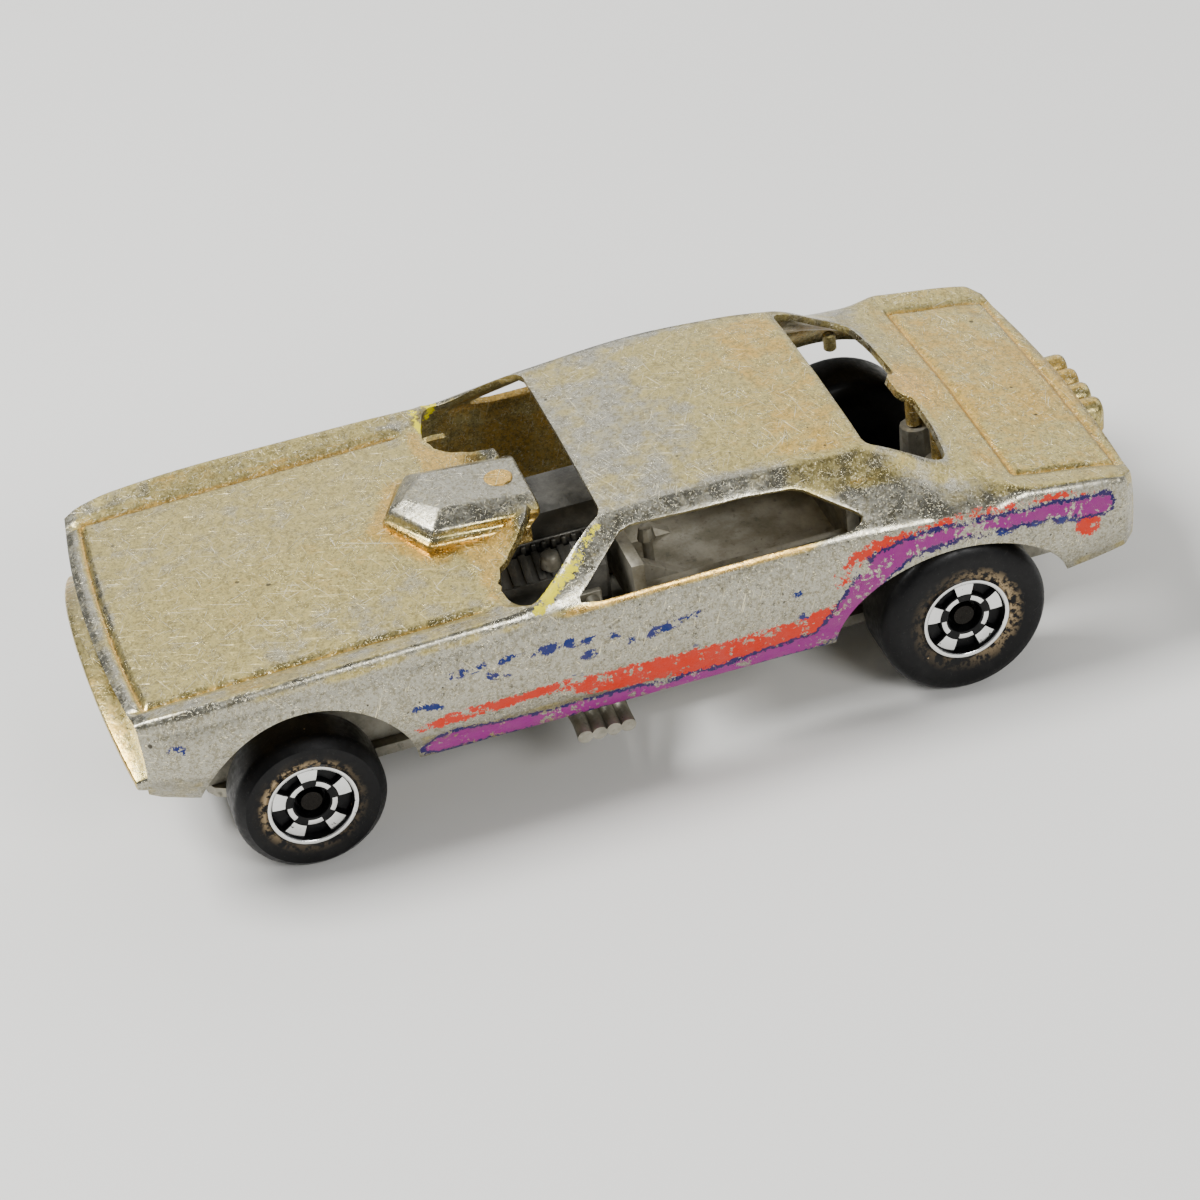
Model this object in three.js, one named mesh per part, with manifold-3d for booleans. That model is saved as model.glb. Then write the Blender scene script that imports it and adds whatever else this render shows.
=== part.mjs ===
// A 3-inch die-cast funny car: a thin cast body that tilts up on a rear hinge, over a cast frame
// riveted to a flat base, which carries an engine, an interior tub, two axles and four wheels.
// Millimetres. The nose points to -Y, the car's left side to +X, up is +Z, the ground is z = 0.
import * as THREE from "three";
import { mergeVertices } from "three/addons/utils/BufferGeometryUtils.js";
import Module from "manifold-3d";

const wasm = await Module();
wasm.setup();

// ---- Driving dimensions ----
const WHEELBASE = 47.8;
const FRONT_OVERHANG = 11.5; // front axle to nose face
const REAR_OVERHANG = 13.7; // rear axle to tail face
const LIP_DEPTH = 1.0; // chin lip ahead of the nose face
const CHUTE_DEPTH = 1.6; // parachute pack behind the tail face
const BODY_WIDTH = 30.0; // over the belt line, before the side bulge
const SILL_Z = 7.15;
const BELT_Z = 15.9;
const HOOD_RISE = 0.7; // hood, roof and deck over the belt line
const ROOF_RISE = 4.7;
const DECK_RISE = 0;
const ROOF_HALF = 10.6;
const WALL = 1.1; // casting thickness
const DASH_TO_AXLE = 16.7; // front axle to the windshield's low corners
const WINDSHIELD_RUN = 7.0; // low corners to the roof's front edge
const REAR_PILLAR_LEAD = 4.9; // roof's rear edge ahead of the rear axle
const REAR_WINDOW_RUN = 6.5;
const FRONT_TYRE_R = 5.4;
const REAR_TYRE_R = 6.2;
const FRONT_TYRE_WIDTH = 4.2;
const REAR_TYRE_WIDTH = 5.2;
const FRONT_TRACK_OUTER = 13.85; // centre line to the front wheel's outer face
const REAR_TRACK_OUTER = 14.55;
const RIM_R = 3.25;
const AXLE_R = 0.5;
const PLATE_Z = 2.9; // underside of the base plate
const PLATE_T = 0.8;
const PLATE_HALF = 7.0;
const RAIL_TOP = 7.4; // top of the frame's rails
const RIVET_R = 0.7;
const RIVET_HEAD_R = 1.6;
const RIVET_HEAD_T = 0.35;
const HINGE_R = 0.6;
const HINGE_Z = 9.4;
const KNUCKLE_WALL = 0.65; // metal round the hinge pin in the frame

// ---- Clearances ----
const SEAT_GAP = 0.05; // between fixed pieces that sit on each other
const RUNNING_GAP = 0.2; // round a part that turns, on the radius
const SIDE_GAP = 0.3; // beside a part that turns
const KNUCKLE_GAP = 0.55; // between the frame's knuckle and the shell's tail wall

// ---- Heights of the body ----
const HOOD_Z = BELT_Z + HOOD_RISE;
const ROOF_Z = BELT_Z + ROOF_RISE;
const DECK_Z = BELT_Z + DECK_RISE;

// ---- Places along the car ----
const LENGTH = LIP_DEPTH + FRONT_OVERHANG + WHEELBASE + REAR_OVERHANG + CHUTE_DEPTH;
const NOSE = -LENGTH / 2 + LIP_DEPTH;
const FRONT_AXLE_Y = NOSE + FRONT_OVERHANG;
const REAR_AXLE_Y = FRONT_AXLE_Y + WHEELBASE;
const TAIL = REAR_AXLE_Y + REAR_OVERHANG;
const COWL = FRONT_AXLE_Y + DASH_TO_AXLE;
const ROOF_FRONT = COWL + WINDSHIELD_RUN;
const ROOF_REAR = REAR_AXLE_Y - REAR_PILLAR_LEAD;
const DECK_FRONT = ROOF_REAR + REAR_WINDOW_RUN;
const KNUCKLE_R = HINGE_R + KNUCKLE_WALL;
const HINGE_Y = TAIL - WALL - KNUCKLE_GAP - KNUCKLE_R;
const HALF = BODY_WIDTH / 2;
const FIREWALL = COWL + 9.6;
const TUB_REAR = ROOF_REAR + 0.4;

// ---- Solids ----
// A closed three.js geometry as a solid that can be joined and cut.
function solid(geometry) {
  const bare = geometry.clone();
  bare.deleteAttribute("normal");
  bare.deleteAttribute("uv");
  const merged = mergeVertices(bare, 1e-4);
  const vertProperties = new Float32Array(merged.attributes.position.array);
  const triVerts = new Uint32Array(merged.index.array);
  return new wasm.Manifold(new wasm.Mesh({ numProp: 3, vertProperties, triVerts }));
}

function geometryOf(made) {
  const mesh = made.getMesh();
  const geometry = new THREE.BufferGeometry();
  geometry.setAttribute("position", new THREE.BufferAttribute(mesh.vertProperties, 3));
  geometry.setIndex(new THREE.BufferAttribute(mesh.triVerts, 1));
  geometry.computeVertexNormals();
  return geometry;
}

const joined = (...solids) => solids.reduce((a, b) => a.add(b));
const cut = (base, ...tools) => tools.reduce((a, b) => a.subtract(b), base);
const mix = (a, b, t) => a + (b - a) * t;

// A box given by its low and high corners.
function block(low, high) {
  const size = high.map((v, i) => v - low[i]);
  const geometry = new THREE.BoxGeometry(...size);
  geometry.translate(...low.map((v, i) => v + size[i] / 2));
  return solid(geometry);
}

// A round bar between two points, with its facets turned so that one faces straight down.
function bar(from, to, radius, sides = 16, endRadius = radius) {
  const a = new THREE.Vector3(...from);
  const b = new THREE.Vector3(...to);
  const geometry = new THREE.CylinderGeometry(endRadius, radius, a.distanceTo(b), sides);
  geometry.rotateY(Math.PI / sides);
  const up = new THREE.Vector3(0, 1, 0);
  const turn = new THREE.Quaternion().setFromUnitVectors(up, b.clone().sub(a).normalize());
  geometry.applyQuaternion(turn);
  geometry.translate(...a.add(b).multiplyScalar(0.5).toArray());
  return solid(geometry);
}

// A round tube that follows a curve. A full arc takes twice the curve segments as sides.
function tube(points, radius, steps, sides = 8) {
  const path = new THREE.CatmullRomCurve3(points.map((p) => new THREE.Vector3(...p)));
  const ring = new THREE.Shape();
  ring.absarc(0, 0, radius, 0, 2 * Math.PI);
  return solid(
    new THREE.ExtrudeGeometry(ring, { steps, extrudePath: path, curveSegments: sides / 2 }),
  );
}

// A plan outline (x, y) raised from one height to another.
function planPrism(outline, low, high) {
  const shape = new THREE.Shape(outline.map((p) => new THREE.Vector2(...p)));
  const geometry = new THREE.ExtrudeGeometry(shape, { depth: high - low, bevelEnabled: false });
  geometry.translate(0, 0, low);
  return solid(geometry);
}

// A side outline (y, z) stretched from one x to another.
function sidePrism(outline, low, high) {
  const shape = new THREE.Shape(outline.map((p) => new THREE.Vector2(...p)));
  const geometry = new THREE.ExtrudeGeometry(shape, { depth: high - low, bevelEnabled: false });
  const toCar = new THREE.Matrix4().set(0, 0, 1, low, 1, 0, 0, 0, 0, 1, 0, 0, 0, 0, 0, 1);
  geometry.applyMatrix4(toCar);
  return solid(geometry);
}

// A closed body through rings of equally many points, its flat ends fanned from their middles.
function loft(rings) {
  const n = rings[0].length;
  const lastRing = (rings.length - 1) * n;
  const middle = (ring) => [0, 1, 2].map((k) => ring.reduce((sum, p) => sum + p[k], 0) / n);
  const vertices = [...rings.flat(), middle(rings[0]), middle(rings[rings.length - 1])];
  const index = [];
  for (let i = 0; i < n; i++) {
    const next = (i + 1) % n;
    for (let start = 0; start < lastRing; start += n) {
      const [a, b] = [start + i, start + next];
      index.push(a, b, b + n, a, b + n, a + n);
    }
    index.push(next, i, lastRing + n, lastRing + i, lastRing + next, lastRing + n + 1);
  }
  const geometry = new THREE.BufferGeometry();
  geometry.setAttribute("position", new THREE.Float32BufferAttribute(vertices.flat(), 3));
  geometry.setIndex(index);
  const made = solid(geometry);
  return made.volume() > 0 ? made : solid(turnedInsideOut(geometry));
}

function turnedInsideOut(geometry) {
  const index = geometry.index.array;
  for (let i = 0; i < index.length; i += 3) {
    [index[i + 1], index[i + 2]] = [index[i + 2], index[i + 1]];
  }
  return geometry;
}

// ---- Body shell ----
// A key station of the body at y. centre: height on the centre line. hip: where the panel groove
// runs. edge: upper edge of the side. belt: belt line. sill: lower edge. full: how square the
// shoulder is, from 0 for straight to 1 for a tight corner. bulge: how far the side swells.
const station = (y, centre, hip, edge, belt, sill, full, bulge) => ({
  y, centre, hip, edge, belt, sill, full, bulge,
});
const inset = (by, z) => [HALF - by, z];
const stations = [
  station(NOSE, HOOD_Z - 0.6, inset(3.0, HOOD_Z - 0.95), inset(1.3, HOOD_Z - 0.75),
    inset(0.8, BELT_Z - 1.0), inset(1.8, SILL_Z + 2.5), 0.9, 0.3),
  station(NOSE + 1.2, HOOD_Z - 0.34, inset(2.7, HOOD_Z - 0.7), inset(0.9, HOOD_Z - 0.4),
    inset(0.4, BELT_Z - 0.8), inset(1.7, SILL_Z + 2.0), 0.9, 0.5),
  station(NOSE + 4.5, HOOD_Z - 0.2, inset(2.7, HOOD_Z - 0.6), inset(0.45, HOOD_Z - 0.05),
    inset(-0.1, BELT_Z - 0.6), inset(1.0, SILL_Z + 1.5), 0.95, 0.55),
  station(FRONT_AXLE_Y, HOOD_Z, inset(2.7, HOOD_Z - 0.45), inset(0.2, HOOD_Z + 0.2),
    inset(-0.3, BELT_Z - 0.3), inset(0.6, SILL_Z + 0.6), 0.95, 0.5),
  station(COWL - 6, HOOD_Z + 0.4, inset(2.7, HOOD_Z - 0.25), inset(0.3, HOOD_Z + 0.3),
    inset(-0.15, BELT_Z - 0.2), inset(0.9, SILL_Z), 0.9, 0.6),
  station(COWL, HOOD_Z + 0.45, inset(2.6, HOOD_Z - 0.1), inset(0.6, HOOD_Z + 0.35),
    inset(0.0, BELT_Z + 0.1), inset(0.9, SILL_Z), 0.7, 0.6),
  station(ROOF_FRONT, ROOF_Z - 0.2, [ROOF_HALF - 3.3, ROOF_Z - 0.3], [ROOF_HALF, ROOF_Z - 0.5],
    inset(0.2, BELT_Z + 0.1), inset(0.9, SILL_Z), 0.2, 0.6),
  station(mix(ROOF_FRONT, ROOF_REAR, 0.45), ROOF_Z + 0.2, [ROOF_HALF - 3.1, ROOF_Z + 0.05],
    [ROOF_HALF + 0.3, ROOF_Z - 0.15], inset(0.25, BELT_Z + 0.05), inset(0.9, SILL_Z), 0.2, 0.6),
  station(ROOF_REAR - 4, ROOF_Z - 0.15, [ROOF_HALF - 3.1, ROOF_Z - 0.25],
    [ROOF_HALF + 0.25, ROOF_Z - 0.5], inset(0.1, BELT_Z + 0.1), inset(0.8, SILL_Z), 0.12, 0.6),
  station(ROOF_REAR, ROOF_Z - 0.55, [ROOF_HALF - 3.3, ROOF_Z - 0.7], [ROOF_HALF, ROOF_Z - 0.95],
    inset(-0.1, BELT_Z), inset(0.7, SILL_Z + 0.05), 0.0, 0.6),
  station(DECK_FRONT - 0.4, DECK_Z + 1.45, [ROOF_HALF - 3.3, DECK_Z + 1.3],
    [ROOF_HALF + 0.1, DECK_Z + 0.95], inset(-0.3, BELT_Z - 0.4), inset(0.4, SILL_Z + 0.35),
    0.35, 0.5),
  station(DECK_FRONT + 3.4, DECK_Z + 0.4, inset(2.6, DECK_Z - 0.05), inset(0.35, DECK_Z + 0.15),
    inset(-0.4, BELT_Z - 1.0), inset(0.3, SILL_Z + 0.8), 0.9, 0.35),
  station(TAIL - 1.2, DECK_Z - 1.1, inset(2.5, DECK_Z - 1.25), inset(0.3, DECK_Z - 1.0),
    inset(-0.2, BELT_Z - 2.2), inset(0.4, SILL_Z + 1.75), 0.9, 0.2),
  station(TAIL, DECK_Z - 1.55, inset(2.9, DECK_Z - 1.7), inset(1.2, DECK_Z - 1.5),
    inset(0.7, BELT_Z - 2.55), inset(1.2, SILL_Z + 2.1), 0.7, 0.1),
];
const NOSE_BOW = 1.1; // how far the corners sit behind the middle of the nose
const TAIL_BOW = 0.8;
const BOW_REACH = 9; // the bow fades out over this length
const TOP_POINTS = 4;
const FENDER_POINTS = 2;
const SHOULDER_POINTS = 5;
const SIDE_POINTS = 6;

// A smooth value between key stations: cubic with slopes limited so that it never overshoots.
function between(read, y) {
  const last = stations.length - 1;
  const k = Math.max(0, Math.min(last - 1, stations.findIndex((s) => s.y > y) - 1));
  const i = y >= stations[last].y ? last - 1 : k;
  const rise = (j) =>
    (read(stations[j + 1]) - read(stations[j])) / (stations[j + 1].y - stations[j].y);
  const slope = (j) => {
    if (j === 0) return rise(0);
    if (j === last) return rise(last - 1);
    const [a, b] = [rise(j - 1), rise(j)];
    return a * b <= 0 ? 0 : (2 * a * b) / (a + b);
  };
  const width = stations[i + 1].y - stations[i].y;
  const t = Math.max(0, Math.min(1, (y - stations[i].y) / width));
  const [p, q] = [read(stations[i]), read(stations[i + 1])];
  const t2 = t * t;
  const t3 = t2 * t;
  return (
    p * (2 * t3 - 3 * t2 + 1) +
    q * (3 * t2 - 2 * t3) +
    width * (slope(i) * (t3 - 2 * t2 + t) + slope(i + 1) * (t3 - t2))
  );
}

const bend = (a, b, c, t) => a * (1 - t) ** 2 + 2 * b * t * (1 - t) + c * t * t;

// Half of the section at y, as [x, z] points from the centre line down to the sill. A wall moves
// it inwards by that thickness.
function halfSection(y, wall = 0) {
  const read = (name) => between((s) => s[name], y);
  const point = (name, [inwards, down]) => [
    between((s) => s[name][0], y) - inwards * wall,
    between((s) => s[name][1], y) - down * wall,
  ];
  const top = [0, read("centre") - wall];
  const hip = point("hip", [0, 1]);
  const edge = point("edge", [1, 1]);
  const belt = point("belt", [1, 0]);
  const sill = point("sill", [1, 0]);
  const full = read("full");
  const run = (count, at) => Array.from({ length: count }, (_, i) => at(i / count));
  const line = (a, b) => (t) => [mix(a[0], b[0], t), mix(a[1], b[1], t)];
  const curve = (a, b, c) => (t) => [bend(a[0], b[0], c[0], t), bend(a[1], b[1], c[1], t)];
  const shoulder = [
    mix((edge[0] + belt[0]) / 2, belt[0], full),
    mix((edge[1] + belt[1]) / 2, edge[1], full),
  ];
  const swell = [belt[0] + read("bulge") * 2, mix(belt[1], sill[1], 0.45)];
  return [
    ...run(TOP_POINTS, line(top, hip)),
    ...run(FENDER_POINTS, line(hip, edge)),
    ...run(SHOULDER_POINTS, curve(edge, shoulder, belt)),
    ...run(SIDE_POINTS, curve(belt, swell, sill)),
    sill,
  ];
}

// The inner face of the shell, drawn down below the sill so that a cut leaves no floor.
const outerHalf = (y) => halfSection(y);
function innerHalf(y) {
  const inner = halfSection(y, WALL);
  const [x, z] = inner.pop();
  return [...inner, [x, z - 1]];
}

// How far a point near the nose or tail moves back or forward to give the bow seen from above.
function bow(x, y) {
  const side = (x / HALF) ** 2;
  const nose = Math.max(0, 1 - (y - NOSE) / BOW_REACH) ** 2;
  const tail = Math.max(0, 1 - (TAIL - y) / BOW_REACH) ** 2;
  return side * (NOSE_BOW * nose - TAIL_BOW * tail);
}

function ring(half, y) {
  const right = half.slice(1).reverse();
  const full = [...right.map(([x, z]) => [-x, z]), ...half];
  return full.map(([x, z]) => [x, y + bow(x, y), z]);
}

// Stations for a loft: the key stations with even steps between them.
function steps(from, to, pitch) {
  const keys = [from, ...stations.map((s) => s.y).filter((y) => y > from + 0.5 && y < to - 0.5), to];
  return keys.flatMap((y, i) => {
    if (i === keys.length - 1) return [y];
    const count = Math.max(1, Math.round((keys[i + 1] - y) / pitch));
    return Array.from({ length: count }, (_, k) => mix(y, keys[i + 1], k / count));
  });
}

const FRONT_ARCH = { y: FRONT_AXLE_Y + 0.1, z: 6.7, across: 7.7, up: 7.65 };
const REAR_ARCH = { y: REAR_AXLE_Y - 0.9, z: 6.9, across: 8.75, up: 6.25 };
const ARCH_SIDES = 32;

// A wheel arch: an ellipse in side view, cut in from the outside past the wheel.
const ARCH_DEPTH = 7;
function archCut(arch, side) {
  const outline = Array.from({ length: ARCH_SIDES }, (_, i) => {
    const angle = (2 * Math.PI * (i + 0.5)) / ARCH_SIDES;
    return [arch.y + arch.across * Math.cos(angle), arch.z + arch.up * Math.sin(angle)];
  });
  const [low, high] = [HALF - ARCH_DEPTH, HALF + 3];
  return side > 0 ? sidePrism(outline, low, high) : sidePrism(outline, -high, -low);
}

const COWL_EDGE = [
  [HALF - 0.7, COWL + 0.4],
  [HALF - 3.0, COWL - 0.7],
  [HALF - 6.3, COWL - 0.4],
  [HALF - 8.8, COWL + 1.7],
  [HALF - 10.7, COWL + 3.1],
];
const SCOOP_REAR = COWL + 4.2;
const SCOOP_FRONT = COWL - 6.5;
const SCOOP_Z = HOOD_Z + 2.3;
const SCOOP_HALF = 4.0;
const SCOOP_TOP_HALF = 2.4;

function windshieldCut() {
  const side = [...COWL_EDGE, [SCOOP_HALF - WALL, COWL + 3.3]];
  const mirrored = side.map(([x, y]) => [-x, y]).reverse();
  const roof = [
    [-ROOF_HALF + 0.5, ROOF_FRONT],
    [ROOF_HALF - 0.5, ROOF_FRONT],
  ];
  return planPrism([...side, ...mirrored, ...roof], BELT_Z - 4, ROOF_Z + 4);
}

const WINDOW_BASE = BELT_Z + 0.35;
function sideWindowCut() {
  const outline = [
    [COWL + 3.3, WINDOW_BASE + 0.3],
    [COWL + 5.2, WINDOW_BASE - 0.05],
    [ROOF_REAR - 5, WINDOW_BASE - 0.05],
    [ROOF_REAR - 1.8, WINDOW_BASE + 0.45],
    [ROOF_REAR - 5.7, ROOF_Z - 1.45],
    [mix(ROOF_FRONT, ROOF_REAR, 0.5), ROOF_Z - 1.05],
    [ROOF_FRONT + 1.6, ROOF_Z - 1.05],
    [ROOF_FRONT + 0.5, ROOF_Z - 1.3],
  ];
  return sidePrism(outline, -HALF - 3, HALF + 3);
}

const TAB_HALF = 1.7;
const TAB_REACH = 0.9;
function rearWindowCut() {
  const half = [
    [TAB_HALF - 0.5, DECK_FRONT - TAB_REACH],
    [TAB_HALF, DECK_FRONT - 0.1],
    [6, DECK_FRONT - 0.15],
    [ROOF_HALF - 0.4, DECK_FRONT - 0.75],
    [ROOF_HALF, DECK_FRONT - 1.4],
    [ROOF_HALF - 0.3, ROOF_REAR + 2],
    [ROOF_HALF - 0.8, ROOF_REAR],
  ];
  const mirrored = half.map(([x, y]) => [-x, y]).reverse();
  return planPrism([...half, ...mirrored], DECK_Z - 5, ROOF_Z + 4);
}

// The intake scoop: a plinth and an upper box with chamfered shoulders and a pointed front.
const SCOOP_FALL = 0.6; // the top drops this much to the rear
const SCOOP_POINT = 2.2; // depth of the pointed front
function scoop() {
  const outline = (half, front, rear, z, fall = 0) => [
    [-half, rear, z - fall],
    [-half, front + SCOOP_POINT, z],
    [0, front, z],
    [half, front + SCOOP_POINT, z],
    [half, rear, z - fall],
  ];
  const foot = HOOD_Z - 1.5;
  const outer = loft([
    outline(SCOOP_HALF + 0.5, SCOOP_FRONT, SCOOP_REAR - 1, foot),
    outline(SCOOP_HALF + 0.5, SCOOP_FRONT, SCOOP_REAR - 1, HOOD_Z + 0.75, 0.6),
    outline(SCOOP_HALF, SCOOP_FRONT + 0.4, SCOOP_REAR - 0.3, HOOD_Z + 0.95, 0.6),
    outline(SCOOP_HALF, SCOOP_FRONT + 0.6, SCOOP_REAR, SCOOP_Z - 0.75, SCOOP_FALL),
    outline(SCOOP_TOP_HALF, SCOOP_FRONT + 1.8, SCOOP_REAR - 0.2, SCOOP_Z, SCOOP_FALL),
  ]);
  const hollow = SCOOP_HALF - WALL + 0.2;
  const inner = loft([
    outline(hollow, SCOOP_FRONT + 1.8, SCOOP_REAR + 2, foot - 2),
    outline(hollow, SCOOP_FRONT + 2.2, SCOOP_REAR + 2, SCOOP_Z - WALL - 0.75, SCOOP_FALL),
    outline(SCOOP_TOP_HALF - 0.4, SCOOP_FRONT + 3.2, SCOOP_REAR + 2, SCOOP_Z - WALL, SCOOP_FALL),
  ]);
  return { outer, inner };
}

// The chin lip: a thin ledge across the nose that drops towards the corners.
function chinLip() {
  const reach = HALF - 1.4;
  const count = 12;
  const rings = Array.from({ length: count + 1 }, (_, i) => {
    const x = mix(-reach, reach, i / count);
    const top = HOOD_Z - 2.5 - 2.9 * (x / reach) ** 2;
    const face = NOSE + bow(x, NOSE);
    const depth = LIP_DEPTH * (1 - 0.25 * (x / reach) ** 4);
    return [
      [x, face + 0.9, top],
      [x, face - depth, top - 0.15],
      [x, face - depth, top - 0.8],
      [x, face + 0.9, top - 1.3],
    ];
  });
  return loft(rings);
}

// The parachute pack: rounded ribs side by side on the tail.
const CHUTE_RIBS = 4;
const CHUTE_PITCH = 2.2;
const CHUTE_TOP = DECK_Z - 1.85;
const CHUTE_GROOVE = 0.15;
function chutePack() {
  const radius = (CHUTE_PITCH - CHUTE_GROOVE) / 2;
  const [root, reach] = [TAIL - 0.6, TAIL + CHUTE_DEPTH];
  const z = CHUTE_TOP - radius;
  const ribs = Array.from({ length: CHUTE_RIBS }, (_, i) => {
    const x = (i - (CHUTE_RIBS - 1) / 2) * CHUTE_PITCH;
    const round = bar([x, root, z], [x, reach - 0.5, z], radius, 12);
    const tip = bar([x, reach - 0.5, z], [x, reach, z], radius, 12, radius - 0.35);
    const flank = radius - 0.15;
    return joined(round, tip, block([x - flank, root, z - 1.6], [x + flank, reach - 0.5, z]));
  });
  return joined(...ribs);
}

// Posts cast under the shell, which come to rest on pads of the frame: one behind the nose and
// two under the deck, and a stub under each rear pillar.
const FRONT_POST = { x: 0, y: FRONT_AXLE_Y - 6.2, low: RAIL_TOP + 1.6, radius: 1.0 };
const DECK_POST = { x: 2.6, y: DECK_FRONT + 1.4, low: DECK_Z - 3.9, radius: 0.6 };
const STUB_POST = { x: ROOF_HALF + 0.3, y: DECK_FRONT - 1.9, low: DECK_Z - 1.0, radius: 0.5 };
const POST_ROOT = 0.9; // a post runs this far into the panel above it
const restPosts = [FRONT_POST, DECK_POST, { ...DECK_POST, x: -DECK_POST.x }];

function posts() {
  const upright = ({ x, y, low, radius }, high) => bar([x, y, low], [x, y, high], radius, 12);
  const panelZ = (y) => between((s) => s.centre, y) - POST_ROOT;
  return [
    ...restPosts.map((post) => upright(post, panelZ(post.y))),
    ...[1, -1].map((side) => upright({ ...STUB_POST, x: side * STUB_POST.x }, DECK_Z + 0.4)),
  ];
}

// Ears inside the tail that turn on the hinge pin.
const EAR_X = 7.6;
const EAR_T = 1.2;
const EAR_R = HINGE_R + 0.9;
const hingeBar = (from, to, radius, sides) =>
  bar([from, HINGE_Y, HINGE_Z], [to, HINGE_Y, HINGE_Z], radius, sides);

function hingeEars() {
  const top = between((s) => s.centre, HINGE_Y) - WALL;
  return [-EAR_X, EAR_X].map((x) => {
    const [low, high] = [x - EAR_T / 2, x + EAR_T / 2];
    const web = block([low, HINGE_Y - EAR_R, HINGE_Z], [high, HINGE_Y + EAR_R, top]);
    return joined(hingeBar(low, high, EAR_R, 16), web);
  });
}

const LOFT_PITCH = 3.2;
function bodyShell() {
  const skin = (half, from, to) =>
    loft(steps(from, to, LOFT_PITCH).map((y) => ring(half(y), y)));
  const { outer: scoopOuter, inner: scoopInner } = scoop();
  const outer = joined(skin(outerHalf, NOSE, TAIL), scoopOuter);
  const hollow = skin(innerHalf, NOSE + WALL, TAIL - WALL);
  const arches = [FRONT_ARCH, REAR_ARCH].flatMap((arch) =>
    [1, -1].map((side) => archCut(arch, side)),
  );
  const windshield = cut(windshieldCut(), scoopOuter);
  const slopeOverScoop = block(
    [-SCOOP_HALF - 0.6, SCOOP_REAR, HOOD_Z],
    [SCOOP_HALF + 0.6, ROOF_FRONT, ROOF_Z + 3],
  );
  const openings = [windshield, slopeOverScoop, sideWindowCut(), rearWindowCut()];
  const shell = cut(outer, hollow, scoopInner, ...arches, ...openings);
  const whole = joined(shell, chinLip(), chutePack(), ...posts(), ...hingeEars());
  return cut(whole, hingeBar(-HALF + 2, HALF - 2, HINGE_R + RUNNING_GAP, 16));
}

// ---- Chassis ----
const WHEEL_SIDES = 32;
const FACET = Math.cos(Math.PI / WHEEL_SIDES); // centre height of a wheel that stands on a facet
const FRONT_AXLE_Z = FRONT_TYRE_R * FACET;
const REAR_AXLE_Z = REAR_TYRE_R * FACET;
const FRAME_Z = PLATE_Z + PLATE_T + SEAT_GAP;
const FRAME_T = 1.0;
const FRAME_FRONT = NOSE + 3.6;
const RAIL_X = 5.4;
const RAIL_HALF = 0.7;
const FRAME_HALF = RAIL_X + RAIL_HALF;
const WALL_T = 1.2;
const SADDLE_HALF = 1.4;
const BOSS_R = 1.8;
const RIVET_PLACES = [FRONT_AXLE_Y + 9, REAR_AXLE_Y - 5.5];

const rivetBore = (y) => bar([0, y, 0], [0, y, RAIL_TOP], RIVET_R + SEAT_GAP, 16);

// The recess under the plate that takes a rivet's head, so that the underside stays flat.
const HEAD_RECESS = RIVET_HEAD_T + 2 * SEAT_GAP;
const headRecess = (y) =>
  bar([0, y, 0], [0, y, PLATE_Z + HEAD_RECESS], RIVET_HEAD_R + SEAT_GAP, 16);

// A flat plate with rounded corners that closes the frame from below.
const PLATE_CORNER = 2.5;
function basePlate() {
  const [front, rear] = [FRAME_FRONT + 1.5, HINGE_Y - 2.5];
  const [x, round] = [PLATE_HALF, PLATE_CORNER];
  const shape = new THREE.Shape();
  shape.moveTo(round - x, front);
  shape.lineTo(x - round, front);
  shape.quadraticCurveTo(x, front, x, front + round);
  shape.lineTo(x, rear - round);
  shape.quadraticCurveTo(x, rear, x - round, rear);
  shape.lineTo(round - x, rear);
  shape.quadraticCurveTo(-x, rear, -x, rear - round);
  shape.lineTo(-x, front + round);
  shape.quadraticCurveTo(-x, front, round - x, front);
  const points = shape.getPoints(4).slice(0, -1).map((p) => [p.x, p.y]);
  const plate = planPrism(points, PLATE_Z, PLATE_Z + PLATE_T);
  return cut(plate, ...RIVET_PLACES.map(rivetBore), ...RIVET_PLACES.map(headRecess));
}

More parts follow.
